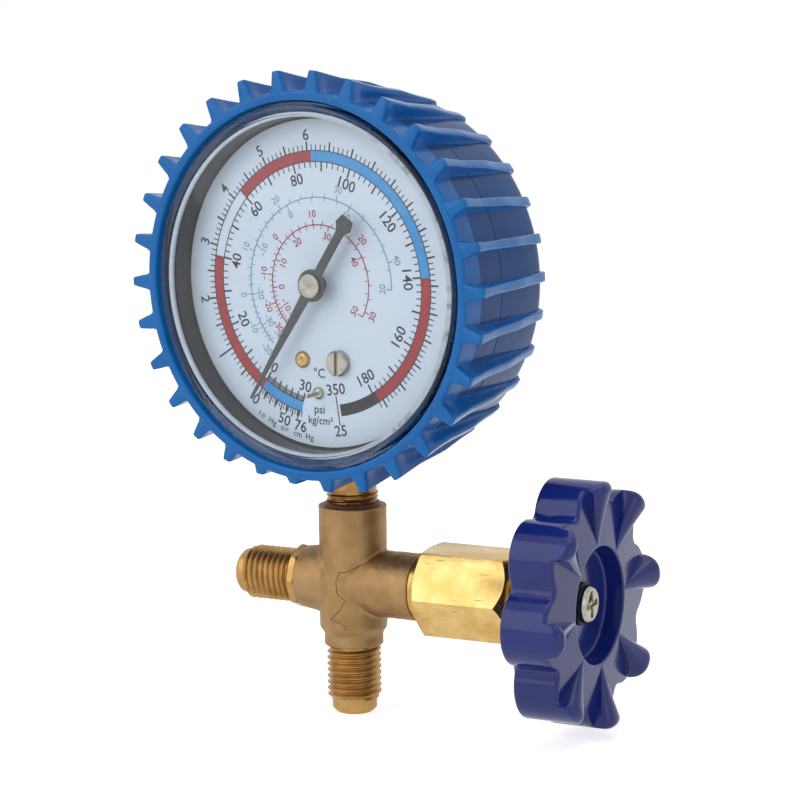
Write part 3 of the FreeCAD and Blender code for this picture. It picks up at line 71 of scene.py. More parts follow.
def add_node(tree: bpy.types.NodeTree, kind: str, inputs: Optional[dict] = None,
             **settings: Any) -> bpy.types.Node:
    """Adds one node with its settings and links.

    Args:
        tree: the tree that the node goes into.
        kind: the node's type name.
        inputs: a value or an output socket for each input, by name or number.
        settings: the node's own properties.

    Returns:
        The new node.
    """
    node = tree.nodes.new(kind)
    for key, value in settings.items():
        setattr(node, key, value)
    for key, value in (inputs or {}).items():
        if isinstance(value, bpy.types.NodeSocket):
            tree.links.new(value, node.inputs[key])
        else:
            node.inputs[key].default_value = value
    return node


def polar(radius: float, degrees: float, height: float = 0.0) -> Point:
    """Gives the point at a radius and an angle, in degrees, at a height."""
    angle = math.radians(degrees)
    return (radius * math.cos(angle), radius * math.sin(angle), height)


def frame_of(x: Sequence[float], y: Sequence[float], z: Sequence[float],
             origin: Sequence[float]) -> Matrix:
    """Makes the matrix from a piece's own millimetres to the row frame's metres.

    Args:
        x, y, z: the local axes in the row frame.
        origin: the local origin in the row frame, in millimetres.

    Returns:
        The matrix, with the scale in it.
    """
    rows = [[x[i], y[i], z[i], origin[i]] for i in range(3)]
    return Matrix.Scale(MM, 4) @ Matrix(rows + [[0, 0, 0, 1]])


def upright(height: float) -> Matrix:
    """Gives the place of a piece that stands on the column's axis from a height."""
    return frame_of((1, 0, 0), (0, 1, 0), (0, 0, 1), (0, 0, height))


def sideways(start: float) -> Matrix:
    """Gives the place of a piece that lies along the valve's axis from an X."""
    return frame_of((0, 1, 0), (0, 0, 1), (1, 0, 0), (start, 0, AXIS_HEIGHT))


# Places, in millimetres and radians
AXIS_HEIGHT = 24.2
CROSS = upright(0)
VALVE_AXIS = sideways(0)
GAUGE_TURN = math.radians(7.15)
DIAL_HEIGHT = 85.93
STEM_BEHIND_DIAL = 9.64
SIN_TURN, COS_TURN = math.sin(GAUGE_TURN), math.cos(GAUGE_TURN)
GAUGE = frame_of((COS_TURN, -SIN_TURN, 0), (0, 0, 1), (-SIN_TURN, -COS_TURN, 0),
                 (-STEM_BEHIND_DIAL * SIN_TURN, -STEM_BEHIND_DIAL * COS_TURN, DIAL_HEIGHT))


def rise(value: float, start: float, length: float) -> float:
    """Gives how far a value has come from a start over a length, from 0 to 1."""
    return max(0.0, min(1.0, (value - start) / length))


def quarter(steps: int, first: int = 1) -> list[tuple[float, float]]:
    """Gives the sine and cosine at steps along a quarter turn, from the first step on."""
    bends = [math.pi / 2 * step / steps for step in range(first, steps + 1)]
    return [(math.sin(bend), math.cos(bend)) for bend in bends]


def eased(points: Sequence[tuple[float, float, float]], steps: int = 5) -> list[tuple[float, float]]:
    """Rounds the corners of a closed outline.

    Args:
        points: radius, height and the fillet's size at each corner.
        steps: points along each fillet.

    Returns:
        The outline's radius and height pairs.
    """
    outline: list[tuple[float, float]] = []
    count = len(points)
    for i, (radius, height, fillet) in enumerate(points):
        here = Vector((radius, height))
        if fillet <= 0:
            outline.append((radius, height))
            continue
        before = Vector(points[i - 1][:2]) - here
        after = Vector(points[(i + 1) % count][:2]) - here
        reach = min(fillet, before.length * 0.48, after.length * 0.48)
        start, end = before.normalized() * reach, after.normalized() * reach
        for step in range(steps + 1):
            share = step / steps
            bend = here + start * (1 - share) ** 2 + end * share ** 2
            outline.append((bend.x, bend.y))
    return outline


def lathe(profile: Profile, segments: int = 128,
          limit: Optional[Callable[[float], float]] = None) -> bmesh.types.BMesh:
    """Turns a closed outline round the z axis.

    Args:
        profile: radius and height pairs, anticlockwise with the radius to the right.
        segments: steps round the axis.
        limit: the largest radius at an angle, for flats.

    Returns:
        A closed mesh with its faces outwards.
    """
    bm = bmesh.new()
    rings = []
    for step in range(segments):
        angle = 2 * math.pi * step / segments
        most = limit(angle) if limit else math.inf
        rings.append([
            bm.verts.new((min(r, most) * math.cos(angle), min(r, most) * math.sin(angle), h))
            for r, h in profile
        ])
    count = len(profile)
    for step, ring in enumerate(rings):
        following = rings[(step + 1) % segments]
        for i in range(count):
            j = (i + 1) % count
            bm.faces.new((ring[i], following[i], following[j], ring[j]))
    bmesh.ops.remove_doubles(bm, verts=bm.verts, dist=WELD_MM)
    bmesh.ops.dissolve_degenerate(bm, edges=bm.edges, dist=WELD_MM / 10)
    bmesh.ops.recalc_face_normals(bm, faces=bm.faces)
    return bm


def bridge(bm: bmesh.types.BMesh, one: Sequence[bmesh.types.BMVert],
           two: Sequence[bmesh.types.BMVert]) -> None:
    """Joins two closed rings of as many points with a band of faces."""
    count = len(one)
    for i in range(count):
        j = (i + 1) % count
        bm.faces.new((one[i], one[j], two[j], two[i]))


def slab(corners: Sequence[tuple[float, float]], low: float, high: float,
         bm: Optional[bmesh.types.BMesh] = None) -> bmesh.types.BMesh:
    """Adds a closed prism on a strip of points.

    Args:
        corners: pairs of points, inner then outer, along the strip.
        low, high: heights of its two faces.
        bm: the mesh that it is added to, or none for a new one.

    Returns:
        The mesh.
    """
    bm = bm or bmesh.new()
    layers = [[bm.verts.new((x, y, h)) for x, y in corners] for h in (low, high)]
    bottom, top = layers
    pairs = len(corners) // 2
    for i in range(pairs - 1):
        a, b, c, d = 2 * i, 2 * i + 1, 2 * i + 3, 2 * i + 2
        bm.faces.new((top[a], top[b], top[c], top[d]))
        bm.faces.new((bottom[d], bottom[c], bottom[b], bottom[a]))
        bm.faces.new((top[b], bottom[b], bottom[c], top[c]))
        bm.faces.new((bottom[a], top[a], top[d], bottom[d]))
    last = 2 * pairs
    bm.faces.new((bottom[0], bottom[1], top[1], top[0]))
    bm.faces.new((top[last - 2], top[last - 1], bottom[last - 1], bottom[last - 2]))
    return bm


def arc_slab(inner: float, outer: float, start: float, end: float, low: float, high: float,
             bm: Optional[bmesh.types.BMesh] = None) -> bmesh.types.BMesh:
    """Adds a closed arc with square edges.

    Args:
        inner, outer: its radii.
        start, end: its angles in degrees.
        low, high: heights of its two faces.
        bm: the mesh that it is added to, or none for a new one.

    Returns:
        The mesh.
    """
    steps = max(2, int(abs(end - start) / 1.5))
    corners = []
    for step in range(steps + 1):
        angle = start + (end - start) * step / steps
        corners += [polar(inner, angle)[:2], polar(outer, angle)[:2]]
    return slab(corners, low, high, bm)


def mesh_of(bm: bmesh.types.BMesh, name: str) -> bpy.types.Mesh:
    """Turns an editable mesh to a plain one and frees it."""
    mesh = bpy.data.meshes.new(name)
    bm.to_mesh(mesh)
    bm.free()
    return mesh


def evaluated(mesh: bpy.types.Mesh, prepare: Callable[[bpy.types.Object], None]) -> bpy.types.Mesh:
    """Runs modifiers over a mesh and gives the plain result.

    Args:
        mesh: the mesh that the modifiers start from.
        prepare: adds the modifiers to the object that it is given.

    Returns:
        A new plain mesh. The helper object is removed.
    """
    helper = bpy.data.objects.new("helper", mesh)
    bpy.context.scene.collection.objects.link(helper)
    prepare(helper)
    graph = bpy.context.evaluated_depsgraph_get()
    result = bpy.data.meshes.new_from_object(helper.evaluated_get(graph), depsgraph=graph)
    helper.modifiers.clear()
    bpy.data.objects.remove(helper)
    bpy.data.meshes.remove(mesh)
    return result


def merged(meshes: Sequence[bpy.types.Mesh]) -> bpy.types.Mesh:
    """Joins plain meshes into the first one and removes the others."""
    bm = bmesh.new()
    for mesh in meshes:
        bm.from_mesh(mesh)
    for mesh in meshes[1:]:
        bpy.data.meshes.remove(mesh)
    bm.to_mesh(meshes[0])
    bm.free()
    return meshes[0]


def cut_by(mesh: bpy.types.Mesh, tools: Sequence[bpy.types.Mesh]) -> bpy.types.Mesh:
    """Cuts closed tools out of a closed mesh.

    Args:
        mesh: the mesh that is cut.
        tools: the meshes that are taken away. They are removed.

    Returns:
        The cut mesh.
    """
    helpers = []
    for tool in tools:
        helper = bpy.data.objects.new("cutter", tool)
        bpy.context.scene.collection.objects.link(helper)
        helpers.append(helper)

    def prepare(target: bpy.types.Object) -> None:
        """Adds one difference for each tool."""
        for helper in helpers:
            modifier = target.modifiers.new("cut", "BOOLEAN")
            modifier.operation = "DIFFERENCE"
            modifier.solver = "MANIFOLD"
            modifier.object = helper

    result = evaluated(mesh, prepare)
    for helper in helpers:
        data = helper.data
        bpy.data.objects.remove(helper)
        bpy.data.meshes.remove(data)
    return result


class Sharpness(Enum):
    """How far two faces may turn before their edge is shown sharp."""

    SOFT = 60.0
    NORMAL = 32.0
    CRISP = 18.0


def put(name: str, mesh: bpy.types.Mesh, place: Matrix, material: bpy.types.Material, body: str,
        replaces: Sequence[str] = (), sharp: Sharpness = Sharpness.NORMAL,
        second: Optional[tuple[bpy.types.Material, Callable[[Vector], bool]]] = None
        ) -> bpy.types.Object:
    """Places a finished mesh in the scene and ties it to the frame.

    Args:
        name: the piece's name.
        mesh: its mesh in its own millimetres.
        place: the matrix to the row frame.
        material: its finish.
        body: the CAD body that it rides on.
        replaces: the CAD nodes that it stands for.
        sharp: how its edges are shaded.
        second: another finish, and the test on a face's middle that says where it goes.

    Returns:
        The new object.
    """
    chosen = [int(second[1](face.center)) if second else 0 for face in mesh.polygons]
    mesh.transform(place)
    mesh.name = name
    mesh.materials.clear()
    mesh.materials.append(material)
    if second:
        mesh.materials.append(second[0])
    mesh.polygons.foreach_set("use_smooth", [True] * len(mesh.polygons))
    mesh.polygons.foreach_set("material_index", chosen)
    mesh.set_sharp_from_angle(angle=math.radians(sharp.value))
    mesh.update()
    piece = bpy.data.objects.new(name, mesh)
    bpy.context.scene.collection.objects.link(piece)
    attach(piece, body)
    if replaces:
        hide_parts(*replaces)
    LOG.info("%s rides on %s with %d faces", name, body, len(mesh.polygons))
    return piece


# Finishes
@dataclass(frozen=True)
class Surface:
    """A finish with patches of tone, a fine grain and a low relief.

    Sizes are in millimetres. The stretch divides the grain's frequency along each axis, so a large
    number draws the grain out along that axis. Where the real grain is finer than 0.1 mm it is
    drawn at 0.15 mm or more, so that it shows. Where the index is below that of the real plastic or
    ink, it keeps the plain white surround from greying the colour.
    """

    name: str
    colour: str
    tone: str
    metallic: float = 0.0
    roughness: float = 0.4
    roughness_change: float = 0.1
    patch_mm: float = 6.0
    grain_mm: float = 0.4
    stretch: Point = (1.0, 1.0, 1.0)
    relief_mm: float = 0.01
    wave_mm: float = 0.0
    wave_relief_mm: float = 0.0
    pit_mm: float = 0.0
    pit_colour: str = "#3a2a18"
    coat: float = 0.0
    subsurface: float = 0.0
    ior: float = 1.5

    def material(self) -> bpy.types.Material:
        """Builds the material and gives it back."""
        made = bpy.data.materials.new(self.name)
        made.use_nodes = True
        tree = made.node_tree
        tree.nodes.clear()
        place = add_node(tree, "ShaderNodeTexCoord").outputs["Object"]
        scale = 1 / (self.patch_mm * MM)
        patches = add_node(tree, "ShaderNodeTexNoise", {"Vector": place, "Scale": scale, "Detail": 3.0})
        share = add_node(tree, "ShaderNodeMapRange", {
            "Value": patches.outputs["Fac"], "From Min": 0.35, "From Max": 0.65})
        colour = add_node(tree, "ShaderNodeMix", {
            0: share.outputs["Result"], 6: linear(self.colour), 7: linear(self.tone)},
            data_type="RGBA").outputs[2]
        fine = 1 / (self.grain_mm * MM)
        drawn = add_node(tree, "ShaderNodeMapping", {
            "Vector": place, "Scale": tuple(fine / s for s in self.stretch)})
        grain = add_node(tree, "ShaderNodeTexNoise", {
            "Vector": drawn.outputs["Vector"], "Scale": 1.0, "Detail": 4.0, "Roughness": 0.6})
        rough = add_node(tree, "ShaderNodeMapRange", {
            "Value": grain.outputs["Fac"], "From Min": 0.3, "From Max": 0.7,
            "To Min": max(0.02, self.roughness - self.roughness_change),
            "To Max": self.roughness + self.roughness_change})
        bump = add_node(tree, "ShaderNodeBump", {
            "Height": grain.outputs["Fac"], "Distance": self.relief_mm * MM, "Strength": 1.0})
        if self.wave_mm:
            slow = add_node(tree, "ShaderNodeTexNoise", {
                "Vector": place, "Scale": 1 / (self.wave_mm * MM), "Detail": 1.0})
            bump = add_node(tree, "ShaderNodeBump", {
                "Height": slow.outputs["Fac"], "Distance": self.wave_relief_mm * MM,
                "Strength": 1.0, "Normal": bump.outputs["Normal"]})
        if self.pit_mm:
            cells = add_node(tree, "ShaderNodeTexVoronoi", {
                "Vector": drawn.outputs["Vector"], "Scale": self.grain_mm / self.pit_mm / 3})
            spots = add_node(tree, "ShaderNodeMapRange", {
                "Value": cells.outputs["Distance"], "From Min": 0.05, "From Max": 0.16,
                "To Min": 0.75, "To Max": 0.0})
            colour = add_node(tree, "ShaderNodeMix", {
                0: spots.outputs["Result"], 6: colour, 7: linear(self.pit_colour)},
                data_type="RGBA").outputs[2]
        shader = add_node(tree, "ShaderNodeBsdfPrincipled", {
            "Base Color": colour, "Roughness": rough.outputs["Result"], "Metallic": self.metallic,
            "IOR": self.ior, "Coat Weight": self.coat, "Coat Roughness": 0.06,
            "Subsurface Weight": self.subsurface, "Subsurface Scale": 0.002,
            "Normal": bump.outputs["Normal"]})
        add_node(tree, "ShaderNodeOutputMaterial", {"Surface": shader.outputs["BSDF"]})
        return made


# Handling marks dull the window in patches about this wide, in millimetres
HANDLING_MARKS = 4


@dataclass(frozen=True)
class ClearSheet:
    """A clear moulded window: smooth, with light let through to what is behind it."""

    name: str
    tint: str
    ior: float

    def material(self) -> bpy.types.Material:
        """Builds the material and gives it back."""
        made = bpy.data.materials.new(self.name)
        made.use_nodes = True
        tree = made.node_tree
        tree.nodes.clear()
        place = add_node(tree, "ShaderNodeTexCoord").outputs["Object"]
        marks = add_node(tree, "ShaderNodeTexNoise", {
            "Vector": place, "Scale": 1 / (HANDLING_MARKS * MM), "Detail": 6.0})
        rough = add_node(tree, "ShaderNodeMapRange", {
            "Value": marks.outputs["Fac"], "From Min": 0.45, "From Max": 0.8,
            "To Min": 0.0, "To Max": 0.03})
        shader = add_node(tree, "ShaderNodeBsdfPrincipled", {
            "Base Color": linear(self.tint), "Roughness": rough.outputs["Result"],
            "IOR": self.ior, "Transmission Weight": 1.0})
        clear = add_node(tree, "ShaderNodeBsdfTransparent", {"Color": linear(self.tint)})
        rays = add_node(tree, "ShaderNodeLightPath")
        mixed = add_node(tree, "ShaderNodeMixShader", {
            0: rays.outputs["Is Shadow Ray"], 1: shader.outputs["BSDF"], 2: clear.outputs["BSDF"]})
        add_node(tree, "ShaderNodeOutputMaterial", {"Surface": mixed.outputs["Shader"]})
        return made


ALONG_X = (12.0, 1.0, 1.0)
ACROSS_Z = (14.0, 14.0, 1.0)

# Hot forged brass, shot blasted: satin, faintly mottled and slightly uneven
FORGED_BRASS = Surface("forged_brass", "#a2835c", "#92734c", 1.0, 0.50, 0.06, 5.0, 0.3,
                       relief_mm=0.022, wave_mm=3.5, wave_relief_mm=0.08)
# Oxide caught in the forging's fold: nearly black brown
FOLD_SCALE = Surface("fold_oxide", "#4b3520", "#3a2817", 0.0, 0.6, 0.1, 1.0, 0.2)
# Cut brass threads: brighter than the forging, with tool marks along the cut
CUT_BRASS = Surface("cut_brass", "#b6925c", "#a47f4c", 1.0, 0.34, 0.07, 3.0, 0.2, relief_mm=0.008)
# Turned brass inside the valve and the movement: plain yellow, half bright
TURNED_BRASS = Surface("turned_brass", "#c8a466", "#b89152", 1.0, 0.30, 0.08, 3.0, 0.25,
                       relief_mm=0.005)
# Drawn hexagon brass, polished: long fine die lines along the bar and a few small pits
POLISHED_BRASS = Surface("polished_brass", "#d6b879", "#c5a25e", 1.0, 0.24, 0.08, 4.0, 0.2,
                         stretch=ALONG_X, relief_mm=0.012, pit_mm=0.25)
# Milled brass flats and thread of the gauge stem: tool marks across them, browner than the rest
MILLED_BRASS = Surface("milled_brass", "#a98250", "#916a3c", 1.0, 0.30, 0.10, 2.0, 0.25,
                       stretch=ACROSS_Z, relief_mm=0.012)
# Anaerobic thread sealant, cured: dull red brown
SEALANT = Surface("cured_sealant", "#7a3b24", "#5c2a1b", 0.0, 0.45, 0.1, 1.0, 0.3, relief_mm=0.03)
# PTFE packing and seat: waxy white
WAXY_WHITE = Surface("ptfe", "#e8e6df", "#dddbd3", 0.0, 0.4, 0.05, 2.0, 0.5, relief_mm=0.003)
# Moulded ABS of the wheel: high gloss navy with very slight sink waves
WHEEL_ABS = Surface("moulded_abs", "#1b2d86", "#182879", 0.0, 0.14, 0.03, 8.0, 0.6,
                    relief_mm=0.0015, wave_mm=6.0, wave_relief_mm=0.03, ior=1.42)
# Nickel plated steel of small screws and the hub cap: warm grey mirror with light tool marks
NICKEL = Surface("nickel_plate", "#b0aa9e", "#989286", 1.0, 0.16, 0.05, 1.5, 0.2, relief_mm=0.004)
# Steel washer under the wheel's screw, painted near black: painted shade and dark reflection for the
# dark ring round the screw's head
WASHER_PAINTED_DARK = Surface("washer_steel_painted_dark", "#2b2d33", "#1f2126", 1.0, 0.35, 0.08, 1.5, 0.2)
# Zinc plated steel of screws, arbor and link: bluish grey, softly shining
ZINC = Surface("zinc_plate", "#b9bbc0", "#9ea1a8", 1.0, 0.3, 0.08, 1.5, 0.2, relief_mm=0.005)
# Drawn and polished steel of the case: a mirror at its back and rim
CASE_STEEL = Surface("polished_steel", "#a4abb9", "#949bab", 1.0, 0.12, 0.03, 12.0, 0.3,
                     relief_mm=0.001)
# The same steel inside the case, painted darker: painted shade and dark reflection on the inner wall,
# which mirrors the dial's edge where the rim shades it: dark blue grey
CASE_INSIDE_PAINTED_SHADE = Surface("steel_with_painted_shade", "#1d2636", "#19212f", 1.0, 0.24, 0.03, 12.0, 3.0,
                      relief_mm=0.0)
# Moulded silicone gasket: pale grey, half clear
GASKET = Surface("silicone", "#aeb6c0", "#a6aeb9", 0.0, 0.35, 0.05, 2.0, 0.3, subsurface=0.2)
# Moulded soft PVC boot: bright azure, glossy and slightly translucent, with flow waves
BOOT_PVC = Surface("moulded_soft_pvc", "#147acb", "#1172c2", 0.0, 0.24, 0.05, 9.0, 0.5,
                   relief_mm=0.002, wave_mm=5.0, wave_relief_mm=0.08, subsurface=0.2, ior=1.32)
# The same PVC on the barrel, painted darker: painted shade on the barrel's sides, which face away from
# the key light: deep grey blue
BARREL_PVC_PAINTED_SHADE = Surface("soft_pvc_with_painted_shade", "#1f5898", "#1b5190", 0.0, 0.18, 0.04, 9.0, 0.5,
                     relief_mm=0.001, wave_mm=6.0, wave_relief_mm=0.06, ior=1.22)
# Stove enamelled dial plate: cool white, half matt, with a fine orange peel
ENAMEL = Surface("stove_enamel", "#c6d0de", "#c2ccda", 0.0, 0.35, 0.04, 20.0, 0.5, relief_mm=0.002)
# Screen printed inks on the dial: flat, with slightly uneven cover
BLACK_INK = Surface("black_ink", "#17181b", "#1f2023", 0.0, 0.45, 0.05, 0.8, 0.2, ior=1.3)
RED_INK = Surface("red_ink", "#97222a", "#9f282f", 0.0, 0.45, 0.05, 1.2, 0.2, ior=1.3)
BLUE_INK = Surface("blue_ink", "#2b87c6", "#338fcd", 0.0, 0.45, 0.05, 1.2, 0.2, ior=1.3)
SKY_INK = Surface("sky_ink", "#5d8fae", "#6898b5", 0.0, 0.45, 0.05, 0.8, 0.2, ior=1.3)
# Black painted aluminium pointer: satin
POINTER_PAINT = Surface("satin_black_paint", "#232426", "#2b2c2e", 0.0, 0.38, 0.05, 2.0, 0.25,
                        relief_mm=0.003)
# Phosphor bronze of the pressure tube and the hairspring: redder than the brass
BRONZE = Surface("phosphor_bronze", "#c68a55", "#b57a48", 1.0, 0.28, 0.06, 3.0, 0.3, relief_mm=0.004)
# Polycarbonate window: clear with a very slight blue cast. Its index is below the real one, so that
# the plain white surround doesn't veil the dial more than a real studio does
WINDOW = ClearSheet("clear_polycarbonate", "#f7fafc", 1.34)


class Finishes:
    """Builds each material once and hands it out by its finish."""

    def __init__(self) -> None:
        """Starts with no material built."""
        self.made: dict[str, bpy.types.Material] = {}

    def of(self, finish: Surface | ClearSheet) -> bpy.types.Material:
        """Gives the material of a finish, built at its first use."""
        if finish.name not in self.made:
            self.made[finish.name] = finish.material()
        return self.made[finish.name]


# Repeats by Geometry Nodes
@dataclass(frozen=True)
class RingRepeat:
    """Repeats a piece round the z axis: how many, the first angle and the step, in degrees."""

    count: int
    first: float
    step: float

    def apply(self, bm: bmesh.types.BMesh, material: bpy.types.Material) -> bpy.types.Mesh:
        """Repeats a mesh.

        Args:
            bm: the single piece at angle 0. It is freed.
            material: the finish that the tree sets.

        Returns:
            The plain mesh of all the pieces.
        """
        tree = ring_tree()
        names = {item.name: item.identifier for item in tree.interface.items_tree
                 if item.item_type == "SOCKET" and item.in_out == "INPUT"}

        def prepare(helper: bpy.types.Object) -> None:
            """Adds the tree and sets its inputs."""
            modifier = helper.modifiers.new("ring", "NODES")
            modifier.node_group = tree
            modifier[names["Count"]] = self.count
            modifier[names["First Angle"]] = math.radians(self.first)
            modifier[names["Step Angle"]] = math.radians(self.step)
            modifier[names["Finish"]] = material

        return evaluated(mesh_of(bm, "single"), prepare)


def ring_tree() -> bpy.types.NodeTree:
    """Builds the tree that repeats a piece round the z axis, or gives it where it is there.

    Returns:
        The tree, with inputs for the count, the first angle, the step and the finish.
    """
    name = "ring_of_pieces"
    if name in bpy.data.node_groups:
        return bpy.data.node_groups[name]
    tree = bpy.data.node_groups.new(name, "GeometryNodeTree")
    for label, kind in (("Piece", "NodeSocketGeometry"), ("Count", "NodeSocketInt"),
                        ("First Angle", "NodeSocketFloat"), ("Step Angle", "NodeSocketFloat"),
                        ("Finish", "NodeSocketMaterial")):
        tree.interface.new_socket(name=label, in_out="INPUT", socket_type=kind)
    tree.interface.new_socket(name="Pieces", in_out="OUTPUT", socket_type="NodeSocketGeometry")
    given = add_node(tree, "NodeGroupInput")
    points = add_node(tree, "GeometryNodePoints", {"Count": given.outputs["Count"]})
    index = add_node(tree, "GeometryNodeInputIndex")
    angle = add_node(tree, "ShaderNodeMath", {
        0: index.outputs["Index"], 1: given.outputs["Step Angle"], 2: given.outputs["First Angle"]},
        operation="MULTIPLY_ADD")
    turn = add_node(tree, "ShaderNodeCombineXYZ", {"Z": angle.outputs["Value"]})
    copies = add_node(tree, "GeometryNodeInstanceOnPoints", {
        "Points": points.outputs[0], "Instance": given.outputs["Piece"],
        "Rotation": turn.outputs["Vector"]})
    whole = add_node(tree, "GeometryNodeRealizeInstances", {"Geometry": copies.outputs["Instances"]})
    finished = add_node(tree, "GeometryNodeSetMaterial", {
        "Geometry": whole.outputs["Geometry"], "Material": given.outputs["Finish"]})
    add_node(tree, "NodeGroupOutput", {"Pieces": finished.outputs["Geometry"]})
    return tree


# Pieces that keep the CAD's shape
# Points closer than this, in metres, are one, faces that turn less than this are flat, and edges
# that turn more than this are softened
WELD_M = 2e-6
FLAT_DEGREES = 0.8
EDGE_DEGREES = 34


@dataclass(frozen=True)
class Dressed:
    """A CAD node that is shown with softened edges: its name, finish, slot and edge size in mm."""

    node: str
    finish: Surface
    body: str
    slot: str
    edge: float
    sharp: Sharpness = Sharpness.NORMAL

    def build(self, finishes: Finishes) -> None:
        """Copies the node, merges it, softens its edges and puts it in its place."""
        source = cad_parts[self.node]
        bm = bmesh.new()
        bm.from_mesh(source.data)
        bmesh.ops.remove_doubles(bm, verts=bm.verts, dist=WELD_M)
        bmesh.ops.dissolve_degenerate(bm, edges=bm.edges, dist=WELD_M / 2)
        bmesh.ops.dissolve_limit(bm, angle_limit=math.radians(FLAT_DEGREES), verts=bm.verts,
                                 edges=bm.edges)
        bmesh.ops.recalc_face_normals(bm, faces=bm.faces)
        mesh = mesh_of(bm, self.node)

        def prepare(helper: bpy.types.Object) -> None:
            """Adds the bevel."""
            modifier = helper.modifiers.new("edge", "BEVEL")
            modifier.width = self.edge * MM
            modifier.segments = 2
            modifier.limit_method = "ANGLE"
            modifier.angle_limit = math.radians(EDGE_DEGREES)
            modifier.use_clamp_overlap = True
            modifier.miter_outer = "MITER_ARC"

        if self.edge > 0:
            mesh = evaluated(mesh, prepare)
        put(f"{self.node}_shown", mesh, Matrix.Identity(4), finishes.of(self.finish), self.body,
            (self.node,), self.sharp)


# The brass cross
# One turn of a worn 60 degree thread, as shares of the pitch and of the thread's depth
THREAD_FORM = ((0.04, 1.0), (0.11, 0.88), (0.40, 0.10), (0.46, 0.0), (0.54, 0.0), (0.60, 0.10),
               (0.89, 0.88), (0.96, 1.0))


@dataclass
class Port:
    """A threaded end: a nose, a cut thread and, where it has flats, a collar, in millimetres."""

    name: str
    place: Matrix
    nose_length: float
    thread_length: float
    collar_length: float = 0.0
    collar_radius: float = 0.0
    collar_flats: float = 0.0
    nose_radius: float = 4.575
    nose_chamfer: float = 0.9
    crest: float = 5.53
    root: float = 4.80
    pitch: float = 1.27
    bore: float = 2.6
    entry: float = 0.9
    run_out: float = 0.35
    run_out_end: float = 0.25
    around: int = 96

    def thread(self) -> bmesh.types.BMesh:
        """Builds the helical thread as one closed shell round the bore.

        Returns:
            The mesh, from height 0 to the thread's length.
        """
        around = self.around
        per_turn = len(THREAD_FORM)
        length = self.thread_length
        turns = int(length / self.pitch) + 3
        bm = bmesh.new()
        rows = []
        for row in range(-per_turn, turns * per_turn):
            phase, share = THREAD_FORM[row % per_turn]
            ring = []
            for step in range(around):
                angle = 2 * math.pi * step / around
                height = (row // per_turn + phase + step / around) * self.pitch
                entry = rise(height, -0.1, self.entry)
                run_out = rise(length - self.run_out_end - height, 0, self.run_out)
                depth = self.root + (self.crest - self.root) * share * entry * run_out
                ring.append(bm.verts.new((depth * math.cos(angle), depth * math.sin(angle),
                                          height)))
            rows.append(ring)
        for j in range(len(rows) - per_turn):
            for i in range(around):
                if i < around - 1:
                    bm.faces.new((rows[j][i], rows[j][i + 1], rows[j + 1][i + 1], rows[j + 1][i]))
                elif j + 1 + per_turn < len(rows):
                    bm.faces.new((rows[j][i], rows[j + per_turn][0], rows[j + 1 + per_turn][0],
                                  rows[j + 1][i]))
        loops = []
        for height, sign in ((0.0, -1), (length, 1)):
            cut = bmesh.ops.bisect_plane(
                bm, geom=[*bm.verts, *bm.edges, *bm.faces], plane_co=(0, 0, height),
                plane_no=(0, 0, sign), clear_outer=True)
            loops.append([e for e in cut["geom_cut"] if isinstance(e, bmesh.types.BMEdge)])
        bores = []
        for height in (0.0, length):
            ring = [bm.verts.new(polar(self.bore, 360 * i / around, height)) for i in range(around)]
            bores.append([bm.edges.new((ring[i], ring[(i + 1) % around])) for i in range(around)])
        bmesh.ops.bridge_loops(bm, edges=loops[0] + bores[0])
        bmesh.ops.bridge_loops(bm, edges=bores[0] + bores[1])
        bmesh.ops.bridge_loops(bm, edges=loops[1] + bores[1])
        bmesh.ops.recalc_face_normals(bm, faces=bm.faces)
        return bm

    def build(self, finishes: Finishes) -> None:
        """Builds the thread, the nose and a flatted collar, and puts them in their place."""
        base = self.nose_length
        thread = self.thread()
        bmesh.ops.translate(thread, verts=thread.verts, vec=(0, 0, base))
        nose = lathe(eased([
            (self.bore, 0, 0.15),
            (self.nose_radius - self.nose_chamfer, 0, 0.15),
            (self.nose_radius, self.nose_chamfer, 0.25),
            (self.nose_radius, base + 0.3, 0),
            (self.bore, base + 0.3, 0),
        ]))
        start = base + self.thread_length
        end = start + self.collar_length

        def flats(angle: float) -> float:
            """Gives the collar's radius at an angle."""
            side = math.pi / 4
            return self.collar_flats / 2 / math.cos((angle % side) - side / 2)

        parts = [mesh_of(thread, "thread"), mesh_of(nose, "nose")]
        if self.collar_flats:
            edge = 0.3
            collar = lathe(eased([
                (self.bore, start, 0),
                (self.collar_radius - edge, start, 0.1),
                (self.collar_radius, start + edge, 0.15),
                (self.collar_radius, end - edge, 0.15),
                (self.collar_radius - edge, end, 0.1),
                (self.bore, end, 0),
            ]), 192, flats)
            parts.append(mesh_of(collar, "collar"))
        put(self.name, merged(parts), self.place, finishes.of(CUT_BRASS), "fixed_valve",
            ("valve_body",))


